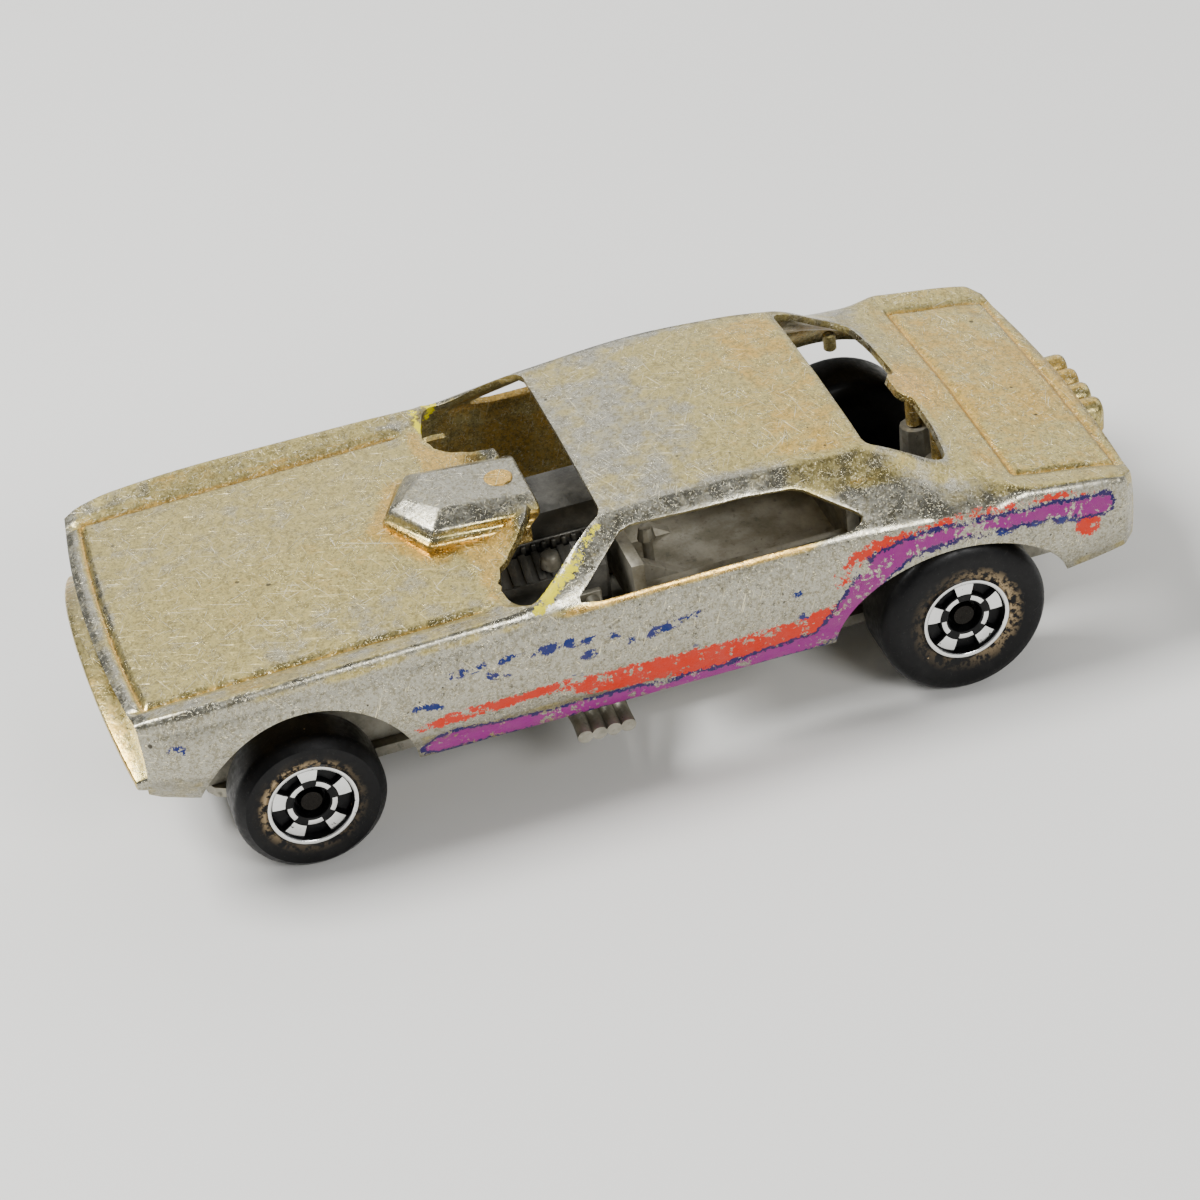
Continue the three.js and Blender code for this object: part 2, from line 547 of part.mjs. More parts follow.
// The frame: a floor with two upright rails that rise to the hinge, cross walls, axle saddles,
// rivet bosses and the pads that the shell's posts rest on.
function chassisFrame() {
  const rear = HINGE_Y - 1;
  const floor = block([-FRAME_HALF, FRAME_FRONT, FRAME_Z], [FRAME_HALF, rear, FRAME_Z + FRAME_T]);
  const rails = [-RAIL_X, RAIL_X].map((x) =>
    block([x - RAIL_HALF, FRAME_FRONT, FRAME_Z], [x + RAIL_HALF, rear, RAIL_TOP]),
  );
  const walls = [FRAME_FRONT, rear - WALL_T].map((y) =>
    block([-FRAME_HALF, y, FRAME_Z], [FRAME_HALF, y + WALL_T, RAIL_TOP]),
  );
  const arm = sidePrism(
    [
      [rear - 3, RAIL_TOP - 1],
      [rear, RAIL_TOP - 1],
      [HINGE_Y + KNUCKLE_R * 0.8, HINGE_Z - KNUCKLE_R * 0.5],
      [HINGE_Y - KNUCKLE_R * 0.8, HINGE_Z + KNUCKLE_R * 0.5],
    ],
    -FRAME_HALF, FRAME_HALF,
  );
  const knuckle = hingeBar(-FRAME_HALF, FRAME_HALF, KNUCKLE_R, 16);
  const axles = [
    [FRONT_AXLE_Y, FRONT_AXLE_Z],
    [REAR_AXLE_Y, REAR_AXLE_Z],
  ];
  const saddles = axles.map(([y, z]) =>
    block(
      [-FRAME_HALF - 1.2, y - SADDLE_HALF, FRAME_Z],
      [FRAME_HALF + 1.2, y + SADDLE_HALF, z + SADDLE_HALF],
    ),
  );
  const bosses = RIVET_PLACES.map((y) => bar([0, y, FRAME_Z], [0, y, RAIL_TOP - 0.6], BOSS_R));
  const pads = restPosts.map(({ x, y, low }) =>
    bar([x, y, FRAME_Z], [x, y, low - SEAT_GAP], 1.5, 12, 1.1),
  );
  const bores = axles.map(([y, z]) => bar([-HALF, y, z], [HALF, y, z], AXLE_R + SEAT_GAP));
  const frame = joined(floor, ...rails, ...walls, arm, knuckle, ...saddles, ...bosses, ...pads);
  const pinBore = hingeBar(-HALF, HALF, HINGE_R + SEAT_GAP, 16);
  return cut(frame, ...RIVET_PLACES.map(rivetBore), ...bores, pinBore);
}

// A rivet: a head in the base plate's recess and a shank up into the frame's boss.
const RIVET_SHORT = 0.8; // the shank ends this far below the rails' top
function rivet(y) {
  const foot = PLATE_Z + SEAT_GAP;
  const shoulder = foot + RIVET_HEAD_T;
  const head = bar([0, y, shoulder], [0, y, foot], RIVET_HEAD_R, 16, RIVET_HEAD_R * 0.9);
  return joined(head, bar([0, y, shoulder - 0.1], [0, y, RAIL_TOP - RIVET_SHORT], RIVET_R, 16));
}

// The pin runs through the ears and the frame's knuckle.
function hingePin() {
  const end = EAR_X + EAR_T / 2 + 0.5;
  return hingeBar(-end, end, HINGE_R, 16);
}

// ---- Interior ----
const TUB_Z = RAIL_TOP + SEAT_GAP;
const TUB_T = 0.8;
const TUB_HALF = 5.0;
const TUB_WALL = 0.7;
const LEDGE_HALF = 10.6;
const LEDGE_Z = 9.4;
const LEDGE_REAR = REAR_AXLE_Y - REAR_TYRE_R - SIDE_GAP - 0.3; // the ledges end ahead of the wheels
const FIREWALL_TOP = BELT_Z - 3.9;
const TUB_TUBE_R = 1.1;
const TUBE_LOW = REAR_AXLE_Z + SADDLE_HALF + TUB_TUBE_R + 0.73; // it passes over the rear saddle
const TUBE_HIGH = TUBE_LOW + 2.1;
const BULKHEAD_TOP = TUBE_HIGH + TUB_TUBE_R;

// A front outline (x, z) stretched from one y to another.
function frontPrism(outline, low, high) {
  const shape = new THREE.Shape(outline.map((p) => new THREE.Vector2(...p)));
  const geometry = new THREE.ExtrudeGeometry(shape, { depth: high - low, bevelEnabled: false });
  geometry.rotateX(Math.PI / 2);
  geometry.translate(0, high, 0);
  return solid(geometry);
}

// The interior tub: a floor between low walls with ledges, a firewall, a rear bulkhead, two
// gussets, a control lever and a pair of sloping tubes behind.
function interiorTub() {
  const outer = TUB_HALF + TUB_WALL;
  const floor = block([-outer, FIREWALL, TUB_Z], [outer, TUB_REAR, TUB_Z + TUB_T]);
  const walls = [-1, 1].flatMap((side) => {
    const mirror = (points) => points.map(([x, z]) => [side * x, z]);
    const wall = mirror([
      [TUB_HALF, TUB_Z],
      [outer, TUB_Z],
      [outer, LEDGE_Z + 0.6],
      [TUB_HALF, LEDGE_Z + 0.6],
    ]);
    const ledge = mirror([
      [TUB_HALF + 0.1, LEDGE_Z - 0.3],
      [LEDGE_HALF, LEDGE_Z - 0.6],
      [LEDGE_HALF, LEDGE_Z],
      [TUB_HALF + 0.1, LEDGE_Z + 0.5],
    ]);
    return [frontPrism(wall, FIREWALL, TUB_REAR), frontPrism(ledge, FIREWALL, LEDGE_REAR)];
  });
  const firewall = block([-outer, FIREWALL, TUB_Z], [outer, FIREWALL + 0.9, FIREWALL_TOP]);
  const bulkhead = block([-outer, TUB_REAR - 0.9, TUB_Z], [outer, TUB_REAR, BULKHEAD_TOP]);
  const gussets = [-3.2, 3.2].map((x) =>
    sidePrism(
      [
        [FIREWALL + 0.5, TUB_Z + 0.3],
        [FIREWALL + 6, TUB_Z + 0.3],
        [FIREWALL + 0.5, FIREWALL_TOP - 0.8],
      ],
      x - 0.45, x + 0.45,
    ),
  );
  const [leverY, leverTop] = [FIREWALL + 2.4, FIREWALL_TOP - 0.4];
  const lever = bar([1.2, leverY, TUB_Z + 0.3], [1.2, leverY, leverTop], 0.4, 10);
  const knob = bar([1.2, leverY, leverTop - 0.6], [1.2, leverY, leverTop + 0.4], 0.7, 10, 0.5);
  const tubes = [-2.4, 2.4].map((x) =>
    bar([x, TUB_REAR - 0.5, TUBE_HIGH], [x, TUB_REAR + 4.2, TUBE_LOW], TUB_TUBE_R, 12),
  );
  return joined(floor, ...walls, firewall, bulkhead, ...gussets, lever, knob, ...tubes);
}

// ---- Engine ----
const ENGINE_REAR = FIREWALL - 1.0;
const ENGINE_LENGTH = 10.5;
const ENGINE_FRONT = ENGINE_REAR - ENGINE_LENGTH;
const ENGINE_BASE = RAIL_TOP + SEAT_GAP;
const BLOCK_HALF = 2.6;
const COVER_RISE = 1.5;
const HAT_TOP = HOOD_Z - 0.3;
const BLOWER_TOP = HAT_TOP - 2.1;
const BLOCK_TOP = BLOWER_TOP - 2.3;
const HAT_HALF = 2.5;
const HEAD_IN = 2.9;
const HEAD_OUT = 4.9;
const COVER_RIBS = 9;

// The engine block: a V of two heads with ribbed covers on a crankcase, and a round balancer.
function engineBlock() {
  const crankcase = block(
    [-BLOCK_HALF, ENGINE_FRONT, ENGINE_BASE],
    [BLOCK_HALF, ENGINE_REAR, BLOCK_TOP],
  );
  const [front, rear] = [ENGINE_FRONT + 0.6, ENGINE_REAR - 0.6];
  const heads = [-1, 1].flatMap((side) => {
    const outline = [
      [BLOCK_HALF - 0.8, ENGINE_BASE + 0.6],
      [BLOCK_HALF + 1.3, ENGINE_BASE + 1.5],
      [HEAD_OUT, BLOCK_TOP + 0.4],
      [HEAD_IN, BLOCK_TOP + COVER_RISE],
      [BLOCK_HALF - 0.8, BLOCK_TOP - 0.4],
    ];
    const ribs = Array.from({ length: COVER_RIBS }, (_, i) => {
      const y = mix(front + 0.8, rear - 0.8, i / (COVER_RIBS - 1));
      const rib = [
        [HEAD_IN - 0.3, BLOCK_TOP + 0.2],
        [HEAD_OUT - 0.4, BLOCK_TOP],
        [HEAD_OUT + 0.1, BLOCK_TOP + 0.65],
        [HEAD_IN + 0.1, BLOCK_TOP + COVER_RISE + 0.25],
      ];
      return frontPrism(rib.map(([x, z]) => [side * x, z]), y - 0.25, y + 0.25);
    });
    return [frontPrism(outline.map(([x, z]) => [side * x, z]), front, rear), ...ribs];
  });
  const z = mix(ENGINE_BASE, BLOCK_TOP, 0.55);
  const balancer = bar([0, ENGINE_FRONT - 0.8, z], [0, ENGINE_FRONT + 0.2, z], 1.5, 18);
  return joined(crankcase, ...heads, balancer);
}

// The blower: a ribbed case between the heads, with its drive pulley in front.
const RIB_PITCH = 0.75;
function blower() {
  const base = BLOCK_TOP + SEAT_GAP;
  const [front, rear] = [ENGINE_FRONT + 1.2, ENGINE_REAR - 0.6];
  const foot = block([-1.7, front, base], [1.7, rear, BLOWER_TOP]);
  const body = block([-HAT_HALF, front, BLOWER_TOP - 0.8], [HAT_HALF, rear, BLOWER_TOP]);
  const count = Math.floor((rear - front) / RIB_PITCH);
  const ribs = Array.from({ length: count }, (_, i) => {
    const y = front + (i + 0.5) * RIB_PITCH;
    const reach = HAT_HALF + 0.3;
    return block([-reach, y - 0.18, BLOWER_TOP - 0.75], [reach, y + 0.18, BLOWER_TOP - 0.15]);
  });
  const pulley = bar([0, front - 1.2, base + 1.1], [0, front + 0.2, base + 1.1], 1.0, 16);
  return joined(foot, body, ...ribs, pulley);
}

// The injector hat under the scoop, rounded at its rear end.
function injectorHat() {
  const base = BLOWER_TOP + SEAT_GAP;
  const [front, rear] = [ENGINE_FRONT + 2.4, ENGINE_REAR + 0.9];
  const radius = (HAT_TOP - base) / 2;
  const z = base + radius;
  const body = block([-HAT_HALF, front, base], [HAT_HALF, rear - radius, HAT_TOP]);
  const end = bar([-HAT_HALF, rear - radius, z], [HAT_HALF, rear - radius, z], radius, 20);
  return joined(body, end);
}

// The magneto: a round cap on a short neck over the left head.
const MAGNETO_X = HEAD_OUT - 0.3;
function magneto() {
  const y = ENGINE_REAR - 4.5;
  const [foot, shoulder] = [BLOCK_TOP + 1.0, BLOCK_TOP + 1.3];
  const neck = bar([MAGNETO_X, y, foot], [MAGNETO_X, y, shoulder + 0.1], 0.5, 12);
  return joined(neck, bar([MAGNETO_X, y, shoulder], [MAGNETO_X, y, shoulder + 1], 0.8, 16, 0.65));
}

// One bank of four exhaust tubes, from a flange on the head out under the sill.
const HEADER_R = 0.55;
const HEADER_TUBES = 4;
const FLANGE_IN = HEAD_OUT + 0.35;
const FLANGE_T = 0.5;
const STUB_Z = 6.0;
function header(side) {
  const tubes = Array.from({ length: HEADER_TUBES }, (_, i) => {
    const port = ENGINE_FRONT + 2.0 + i * 2.1;
    const exit = COWL + 2.6 + i * 1.05;
    const route = [
      [FLANGE_IN + 0.1, port, 10.2],
      [FLANGE_IN + 2.1, port, 9.6],
      [10.2, mix(port, exit, 0.6), 7.4],
      [12.6, exit, STUB_Z],
      [HALF - 0.1, exit, STUB_Z - 0.4],
    ];
    return tube(route.map(([x, y, z]) => [side * x, y, z]), HEADER_R, 8);
  });
  const [front, rear] = [ENGINE_FRONT + 1.2, ENGINE_FRONT + 9.1];
  const [near, far] = [side * FLANGE_IN, side * (FLANGE_IN + FLANGE_T)].sort((a, b) => a - b);
  return joined(...tubes, block([near, front, 9.5], [far, rear, 10.9]));
}

// ---- Wheels and axles ----
const HUB_R = 1.25;
const HUB_DEPTH = 1.5;
const AXLE_HEAD_R = 0.95;
const AXLE_HEAD_T = 0.5;

// A wheel as a turned profile: tread, rounded shoulders, dished rim and a deep hub round the bore.
function wheelGeometry(radius, width) {
  const bore = AXLE_R + RUNNING_GAP;
  const wall = mix(RIM_R, radius, 0.55);
  const profile = [
    [bore, 0.6],
    [RIM_R - 0.8, 0.6],
    [RIM_R, 0.15],
    [wall, 0],
    [radius - 0.35, 0.2],
    [radius, 0.75],
    [radius, width - 1.0],
    [radius - 0.3, width - 0.4],
    [wall, width],
    [RIM_R + 0.1, width - 0.25],
    [RIM_R, width - 0.15],
    [RIM_R - 0.35, width - 0.2],
    [RIM_R - 0.5, width - 0.55],
    [HUB_R + 0.35, width - 0.45],
    [HUB_R, width - 0.6],
    [HUB_R - 0.1, width - HUB_DEPTH],
    [bore, width - HUB_DEPTH],
    [bore, 0.6],
  ];
  const points = profile.map((p) => new THREE.Vector2(...p));
  const geometry = new THREE.LatheGeometry(points, WHEEL_SIDES);
  geometry.rotateY(Math.PI / WHEEL_SIDES);
  return geometryOf(solid(geometry));
}

// A wire axle with a head inside each wheel's hub.
function axleGeometry(outerFace) {
  const head = outerFace - HUB_DEPTH + SIDE_GAP;
  const wire = bar([-head - 0.2, 0, 0], [head + 0.2, 0, 0], AXLE_R);
  const caps = [-1, 1].map((side) => {
    const [from, to] = [side * head, side * (head + AXLE_HEAD_T)];
    return bar([from, 0, 0], [to, 0, 0], AXLE_HEAD_R, 16, AXLE_HEAD_R * 0.8);
  });
  return geometryOf(joined(wire, ...caps));
}

// ---- Assembly ----
const finish = (color, roughness, metalness) =>
  new THREE.MeshStandardMaterial({ color, roughness, metalness });
const WORN_PLATING = finish(0xc9ba8d, 0.36, 0.9);
const BARE_ZINC = finish(0x9a9a92, 0.5, 0.85);
const STEEL = finish(0xa6a8aa, 0.3, 1.0);
const BLACK_PLASTIC = finish(0x17171a, 0.45, 0.0);

const car = new THREE.Group();
car.name = "diecast_car";

function place(name, geometry, material, parent = car) {
  const mesh = new THREE.Mesh(geometry, material);
  mesh.name = name;
  parent.add(mesh);
  return mesh;
}

const fixedPieces = {
  body_shell: [bodyShell(), WORN_PLATING],
  base_plate: [basePlate(), BARE_ZINC],
  chassis_frame: [chassisFrame(), BARE_ZINC],
  interior_tub: [interiorTub(), BARE_ZINC],
  engine_block: [engineBlock(), BARE_ZINC],
  blower: [blower(), BARE_ZINC],
  injector_hat: [injectorHat(), BARE_ZINC],
  magneto: [magneto(), BARE_ZINC],
  header_left: [header(1), BARE_ZINC],
  header_right: [header(-1), BARE_ZINC],
  hinge_pin: [hingePin(), STEEL],
  rivet_front: [rivet(RIVET_PLACES[0]), STEEL],
  rivet_rear: [rivet(RIVET_PLACES[1]), STEEL],
};
for (const [name, [made, material]] of Object.entries(fixedPieces)) {
  place(name, geometryOf(made), material);
}

// An axle and its two wheels share a group at the axle's middle. A wheel is turned on +Y and
// laid over to either side, with its outer face away from the car.
function axleSet(name, y, z, radius, width, outerFace) {
  const set = new THREE.Group();
  set.position.set(0, y, z);
  car.add(set);
  place(`${name}_axle`, axleGeometry(outerFace), STEEL, set);
  const sides = [
    ["left", 1],
    ["right", -1],
  ];
  for (const [side, sign] of sides) {
    const wheel = place(`${name}_wheel_${side}`, wheelGeometry(radius, width), BLACK_PLASTIC, set);
    wheel.rotation.z = (-sign * Math.PI) / 2;
    wheel.position.x = sign * (outerFace - width);
  }
}

axleSet("front", FRONT_AXLE_Y, FRONT_AXLE_Z, FRONT_TYRE_R, FRONT_TYRE_WIDTH, FRONT_TRACK_OUTER);
axleSet("rear", REAR_AXLE_Y, REAR_AXLE_Z, REAR_TYRE_R, REAR_TYRE_WIDTH, REAR_TRACK_OUTER);

export default car;
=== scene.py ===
"""Looks of a worn 3-inch die-cast funny car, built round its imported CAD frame."""

import logging
import math
from dataclasses import dataclass, field
from enum import Enum
from functools import cached_property
from typing import Sequence

import bmesh
import bpy
import numpy as np
from mathutils import Matrix, Vector


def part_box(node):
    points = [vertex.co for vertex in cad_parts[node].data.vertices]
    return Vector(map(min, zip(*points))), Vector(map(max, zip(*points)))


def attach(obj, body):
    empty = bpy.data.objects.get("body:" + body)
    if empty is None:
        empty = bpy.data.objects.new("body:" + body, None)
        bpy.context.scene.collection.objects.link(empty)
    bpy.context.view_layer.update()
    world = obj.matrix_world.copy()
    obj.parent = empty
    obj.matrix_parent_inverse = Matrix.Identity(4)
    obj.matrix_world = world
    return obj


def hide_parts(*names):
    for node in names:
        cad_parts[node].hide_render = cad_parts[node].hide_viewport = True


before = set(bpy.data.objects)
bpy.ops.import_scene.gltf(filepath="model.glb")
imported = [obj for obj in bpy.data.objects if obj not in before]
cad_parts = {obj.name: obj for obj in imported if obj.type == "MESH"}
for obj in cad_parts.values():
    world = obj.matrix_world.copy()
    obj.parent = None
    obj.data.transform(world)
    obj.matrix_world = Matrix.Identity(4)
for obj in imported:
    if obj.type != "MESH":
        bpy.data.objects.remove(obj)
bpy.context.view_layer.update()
MM = 0.001  # metres in a millimetre
SHARP_DEG = 40.0  # edges that bend more than this stay sharp
MERGE_MM = 0.002  # points of a copied CAD mesh that lie closer than this are one
LOG = logging.getLogger("car")

Faces = list[tuple[int, ...]]
Path = Sequence[tuple[float, ...]]


class Body(Enum):
    """The CAD bodies that pieces ride on."""

    CHASSIS = "chassis"
    SHELL = "shell"


class Side(Enum):
    """The two sides of the car, with the sign of X on each."""

    LEFT = 1
    RIGHT = -1


class Slot(Enum):
    """The record's material slots."""

    PLATING = "gold_plating"
    ZINC = "bare_zinc"
    STEEL = "steel"
    PLASTIC = "black_plastic"
    FOIL = "chrome_foil"


# ---- Meshes ----


def box_mm(node: str) -> tuple[np.ndarray, np.ndarray]:
    """Returns a CAD node's lowest and highest corners in millimetres."""
    low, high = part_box(node)
    return np.array(low) / MM, np.array(high) / MM


def mesh_object(
    name: str, points: np.ndarray, faces: Faces, sharp_deg: float = SHARP_DEG
) -> bpy.types.Object:
    """Makes a smooth-shaded mesh object from points in millimetres.

    Args:
        name: the piece's name.
        points: one row of x, y, z for each vertex.
        faces: vertex numbers of each face.
        sharp_deg: edges that bend more than this stay sharp.

    Returns:
        The linked object, at the origin.
    """
    mesh = bpy.data.meshes.new(name)
    mesh.from_pydata((np.asarray(points, float) * MM).tolist(), [], faces)
    mesh.update()
    piece = bpy.data.objects.new(name, mesh)
    bpy.context.collection.objects.link(piece)
    shade(piece, sharp_deg)
    return piece


def shade(piece: bpy.types.Object, sharp_deg: float = SHARP_DEG) -> None:
    """Shades a piece smooth, with sharp edges past an angle."""
    piece.data.polygons.foreach_set("use_smooth", [True] * len(piece.data.polygons))
    piece.data.set_sharp_from_angle(angle=math.radians(sharp_deg))


def mend(piece: bpy.types.Object, merge_mm: float = 0.0) -> None:
    """Merges doubles if asked, and turns the faces of a closed mesh outwards.

    Args:
        piece: the piece whose mesh is mended.
        merge_mm: points closer than this become one; 0 leaves them alone.
    """
    made = bmesh.new()
    made.from_mesh(piece.data)
    if merge_mm:
        bmesh.ops.remove_doubles(made, verts=made.verts, dist=merge_mm * MM)
    bmesh.ops.recalc_face_normals(made, faces=made.faces)
    if made.calc_volume(signed=True) < 0:
        bmesh.ops.reverse_faces(made, faces=made.faces)
    made.to_mesh(piece.data)
    made.free()


def bake_modifiers(piece: bpy.types.Object) -> None:
    """Turns a piece with modifiers into the plain mesh that they give.

    Args:
        piece: the piece, which ends without modifiers.
    """
    graph = bpy.context.evaluated_depsgraph_get()
    graph.update()
    mesh = bpy.data.meshes.new_from_object(piece.evaluated_get(graph))
    piece.modifiers.clear()
    piece.data = mesh


def bevel(piece: bpy.types.Object, width_mm: float, segments: int = 2, angle_deg: float = 30) -> None:
    """Rounds a piece's edges that bend more than an angle.

    Args:
        piece: the piece to round.
        width_mm: width of the rounding.
        segments: faces across the rounding.
        angle_deg: the angle.
    """
    rounding = piece.modifiers.new("edges", "BEVEL")
    rounding.width = width_mm * MM
    rounding.segments = segments
    rounding.limit_method = "ANGLE"
    rounding.angle_limit = math.radians(angle_deg)
    rounding.use_clamp_overlap = True
    bake_modifiers(piece)
    shade(piece)


def loft(rings: Sequence[Path], closed: bool = True) -> tuple[np.ndarray, Faces]:
    """Joins rings of equally many points, and caps the ends.

    Args:
        rings: each ring's points in millimetres.
        closed: whether each ring's last point joins its first, with flat end caps.

    Returns:
        The points and the faces.
    """
    count = len(rings[0])
    points = np.array(rings, float).reshape(-1, 3)
    faces: Faces = []
    for row in range(len(rings) - 1):
        for i in range(count if closed else count - 1):
            a, b = row * count + i, row * count + (i + 1) % count
            faces.append((a, b, b + count, a + count))
    if closed:
        faces.append(tuple(reversed(range(count))))
        faces.append(tuple(range(len(points) - count, len(points))))
    return points, faces


def round_bar(
    start: Sequence[float], end: Sequence[float], radius: float, sides: int = 20, edge: float = 0.12
) -> tuple[np.ndarray, Faces]:
    """Draws a round bar with small chamfers at both ends.

    Args:
        start: middle of the first end in millimetres.
        end: middle of the last end.
        radius: the bar's radius.
        sides: faces round the bar.
        edge: size of the chamfers.

    Returns:
        The points and the faces.
    """
    a, b = np.array(start, float), np.array(end, float)
    axis = (b - a) / np.linalg.norm(b - a)
    across = np.cross(axis, [0.0, 0.0, 1.0] if abs(axis[2]) < 0.9 else [1.0, 0.0, 0.0])
    across /= np.linalg.norm(across)
    third = np.cross(axis, across)
    turns = [2 * math.pi * i / sides for i in range(sides)]

    def ring(middle: np.ndarray, r: float) -> list[np.ndarray]:
        """Returns one ring of the bar."""
        return [middle + r * (math.cos(t) * across + math.sin(t) * third) for t in turns]

    rings = [ring(a, radius - edge), ring(a + axis * edge, radius)]
    rings += [ring(b - axis * edge, radius), ring(b, radius - edge)]
    return loft(rings)


def gathered(parts: Sequence[tuple[np.ndarray, Faces]]) -> tuple[np.ndarray, Faces]:
    """Puts several point and face lists into one.

    Args:
        parts: points and faces of each part.

    Returns:
        All points, and the faces with their new numbers.
    """
    points: list[np.ndarray] = []
    faces: Faces = []
    start = 0
    for part_points, part_faces in parts:
        points.append(np.asarray(part_points, float))
        faces += [tuple(v + start for v in face) for face in part_faces]
        start += len(part_points)
    return np.vstack(points), faces


def join_into(target: bpy.types.Object, *others: bpy.types.Object) -> None:
    """Joins other objects' meshes into a target and removes them.

    Args:
        target: the object that stays.
        others: the objects that go into it.
    """
    made = bmesh.new()
    made.from_mesh(target.data)
    for other in others:
        made.from_mesh(other.data)
        bpy.data.objects.remove(other)
    made.to_mesh(target.data)
    made.free()


def softened(node: str, name: str, edge_mm: float = 0.12) -> bpy.types.Object:
    """Copies a CAD node as a casting with rounded edges.

    Args:
        node: the CAD node to copy.
        name: the new piece's name.
        edge_mm: the edge radius.

    Returns:
        The new piece, which replaces the node.
    """
    piece = bpy.data.objects.new(name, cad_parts[node].data.copy())
    bpy.context.collection.objects.link(piece)
    piece.data.materials.clear()
    mend(piece, MERGE_MM)
    flat = bmesh.new()
    flat.from_mesh(piece.data)
    bmesh.ops.dissolve_limit(flat, angle_limit=math.radians(1.5), verts=flat.verts, edges=flat.edges)
    flat.to_mesh(piece.data)
    flat.free()
    bevel(piece, edge_mm, 2, 32)
    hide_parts(node)
    return piece


def finish_piece(piece: bpy.types.Object, body: str, material: bpy.types.Material) -> None:
    """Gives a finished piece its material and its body.

    Args:
        piece: the finished piece.
        body: the CAD body that it rides on.
        material: its detailed material.
    """
    piece.data.materials.clear()
    piece.data.materials.append(material)
    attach(piece, body)
    LOG.info("%s: %d faces on %s", piece.name, len(piece.data.polygons), body)


def set_attribute(piece: bpy.types.Object, name: str, values: np.ndarray) -> None:
    """Stores one number for each vertex under a name that materials read."""
    layer = piece.data.attributes.new(name, "FLOAT", "POINT")
    layer.data.foreach_set("value", np.asarray(values, np.float32))


# ---- Geometry Nodes ----


def new_tree(name: str, inputs: dict[str, tuple[str, object]]) -> tuple:
    """Makes a Geometry Nodes tree with named inputs.

    Args:
        name: the tree's name.
        inputs: socket type and default value of each input after the geometry.

    Returns:
        The tree, its input node and its output node.
    """
    tree = bpy.data.node_groups.new(name, "GeometryNodeTree")
    tree.interface.new_socket("Geometry", in_out="INPUT", socket_type="NodeSocketGeometry")
    tree.interface.new_socket("Geometry", in_out="OUTPUT", socket_type="NodeSocketGeometry")
    for label, (kind, value) in inputs.items():
        socket = tree.interface.new_socket(label, in_out="INPUT", socket_type=kind)
        if value is not None:
            socket.default_value = value
    return tree, tree.nodes.new("NodeGroupInput"), tree.nodes.new("NodeGroupOutput")


def grow(piece: bpy.types.Object, tree: bpy.types.NodeTree, values: dict[str, object]) -> None:
    """Runs a tree on a piece with the given inputs and keeps the plain mesh.

    Args:
        piece: the piece whose mesh the tree starts from.
        tree: the Geometry Nodes tree.
        values: value of each named input.
    """
    modifier = piece.modifiers.new("grown", "NODES")
    modifier.node_group = tree
    for item in tree.interface.items_tree:
        if item.in_out == "INPUT" and item.name in values:
            modifier[item.identifier] = values[item.name]
    bake_modifiers(piece)


def row_tree() -> bpy.types.NodeTree:
    """Makes the tree that repeats a mesh in an even row.

    Returns:
        The tree, with Count, Step and Material as its inputs.
    """
    tree, start, end = new_tree("even_row", {
        "Count": ("NodeSocketInt", 4),
        "Step": ("NodeSocketVector", (0.0, 0.001, 0.0)),
        "Material": ("NodeSocketMaterial", None),
    })
    add, link = tree.nodes.new, tree.links.new
    line = add("GeometryNodeMeshLine")
    copies = add("GeometryNodeInstanceOnPoints")
    real = add("GeometryNodeRealizeInstances")
    dressed = add("GeometryNodeSetMaterial")
    link(start.outputs["Count"], line.inputs["Count"])
    link(start.outputs["Step"], line.inputs["Offset"])
    link(line.outputs["Mesh"], copies.inputs["Points"])
    link(start.outputs["Geometry"], copies.inputs["Instance"])
    link(copies.outputs["Instances"], real.inputs["Geometry"])
    link(real.outputs["Geometry"], dressed.inputs["Geometry"])
    link(start.outputs["Material"], dressed.inputs["Material"])
    link(dressed.outputs["Geometry"], end.inputs["Geometry"])
    return tree


def tube_tree() -> bpy.types.NodeTree:
    """Makes the tree that gives every edge path of a mesh a round tube.

    Returns:
        The tree, with Radius, Sides and Material as its inputs.
    """
    tree, start, end = new_tree("tubes", {
        "Radius": ("NodeSocketFloat", 0.0005),
        "Sides": ("NodeSocketInt", 20),
        "Material": ("NodeSocketMaterial", None),
    })
    add, link = tree.nodes.new, tree.links.new
    path = add("GeometryNodeMeshToCurve")
    ring = add("GeometryNodeCurvePrimitiveCircle")
    tube = add("GeometryNodeCurveToMesh")
    tube.inputs["Fill Caps"].default_value = True
    real = add("GeometryNodeRealizeInstances")
    dressed = add("GeometryNodeSetMaterial")
    link(start.outputs["Geometry"], path.inputs["Mesh"])
    link(start.outputs["Radius"], ring.inputs["Radius"])
    link(start.outputs["Sides"], ring.inputs["Resolution"])
    link(path.outputs["Curve"], tube.inputs["Curve"])
    link(ring.outputs["Curve"], tube.inputs["Profile Curve"])
    link(tube.outputs["Mesh"], real.inputs["Geometry"])
    link(real.outputs["Geometry"], dressed.inputs["Geometry"])
    link(start.outputs["Material"], dressed.inputs["Material"])
    link(dressed.outputs["Geometry"], end.inputs["Geometry"])
    return tree


# ---- Materials ----


def linear(code: str, alpha: float = 1.0) -> tuple[float, float, float, float]:
    """Turns an sRGB hex colour into linear values.

    Args:
        code: the colour as #RRGGBB.
        alpha: its opacity.

    Returns:
        Linear red, green, blue and opacity.
    """
    parts = [int(code.lstrip("#")[i : i + 2], 16) / 255 for i in (0, 2, 4)]
    flat = [c / 12.92 if c <= 0.04045 else ((c + 0.055) / 1.055) ** 2.4 for c in parts]
    return (flat[0], flat[1], flat[2], alpha)


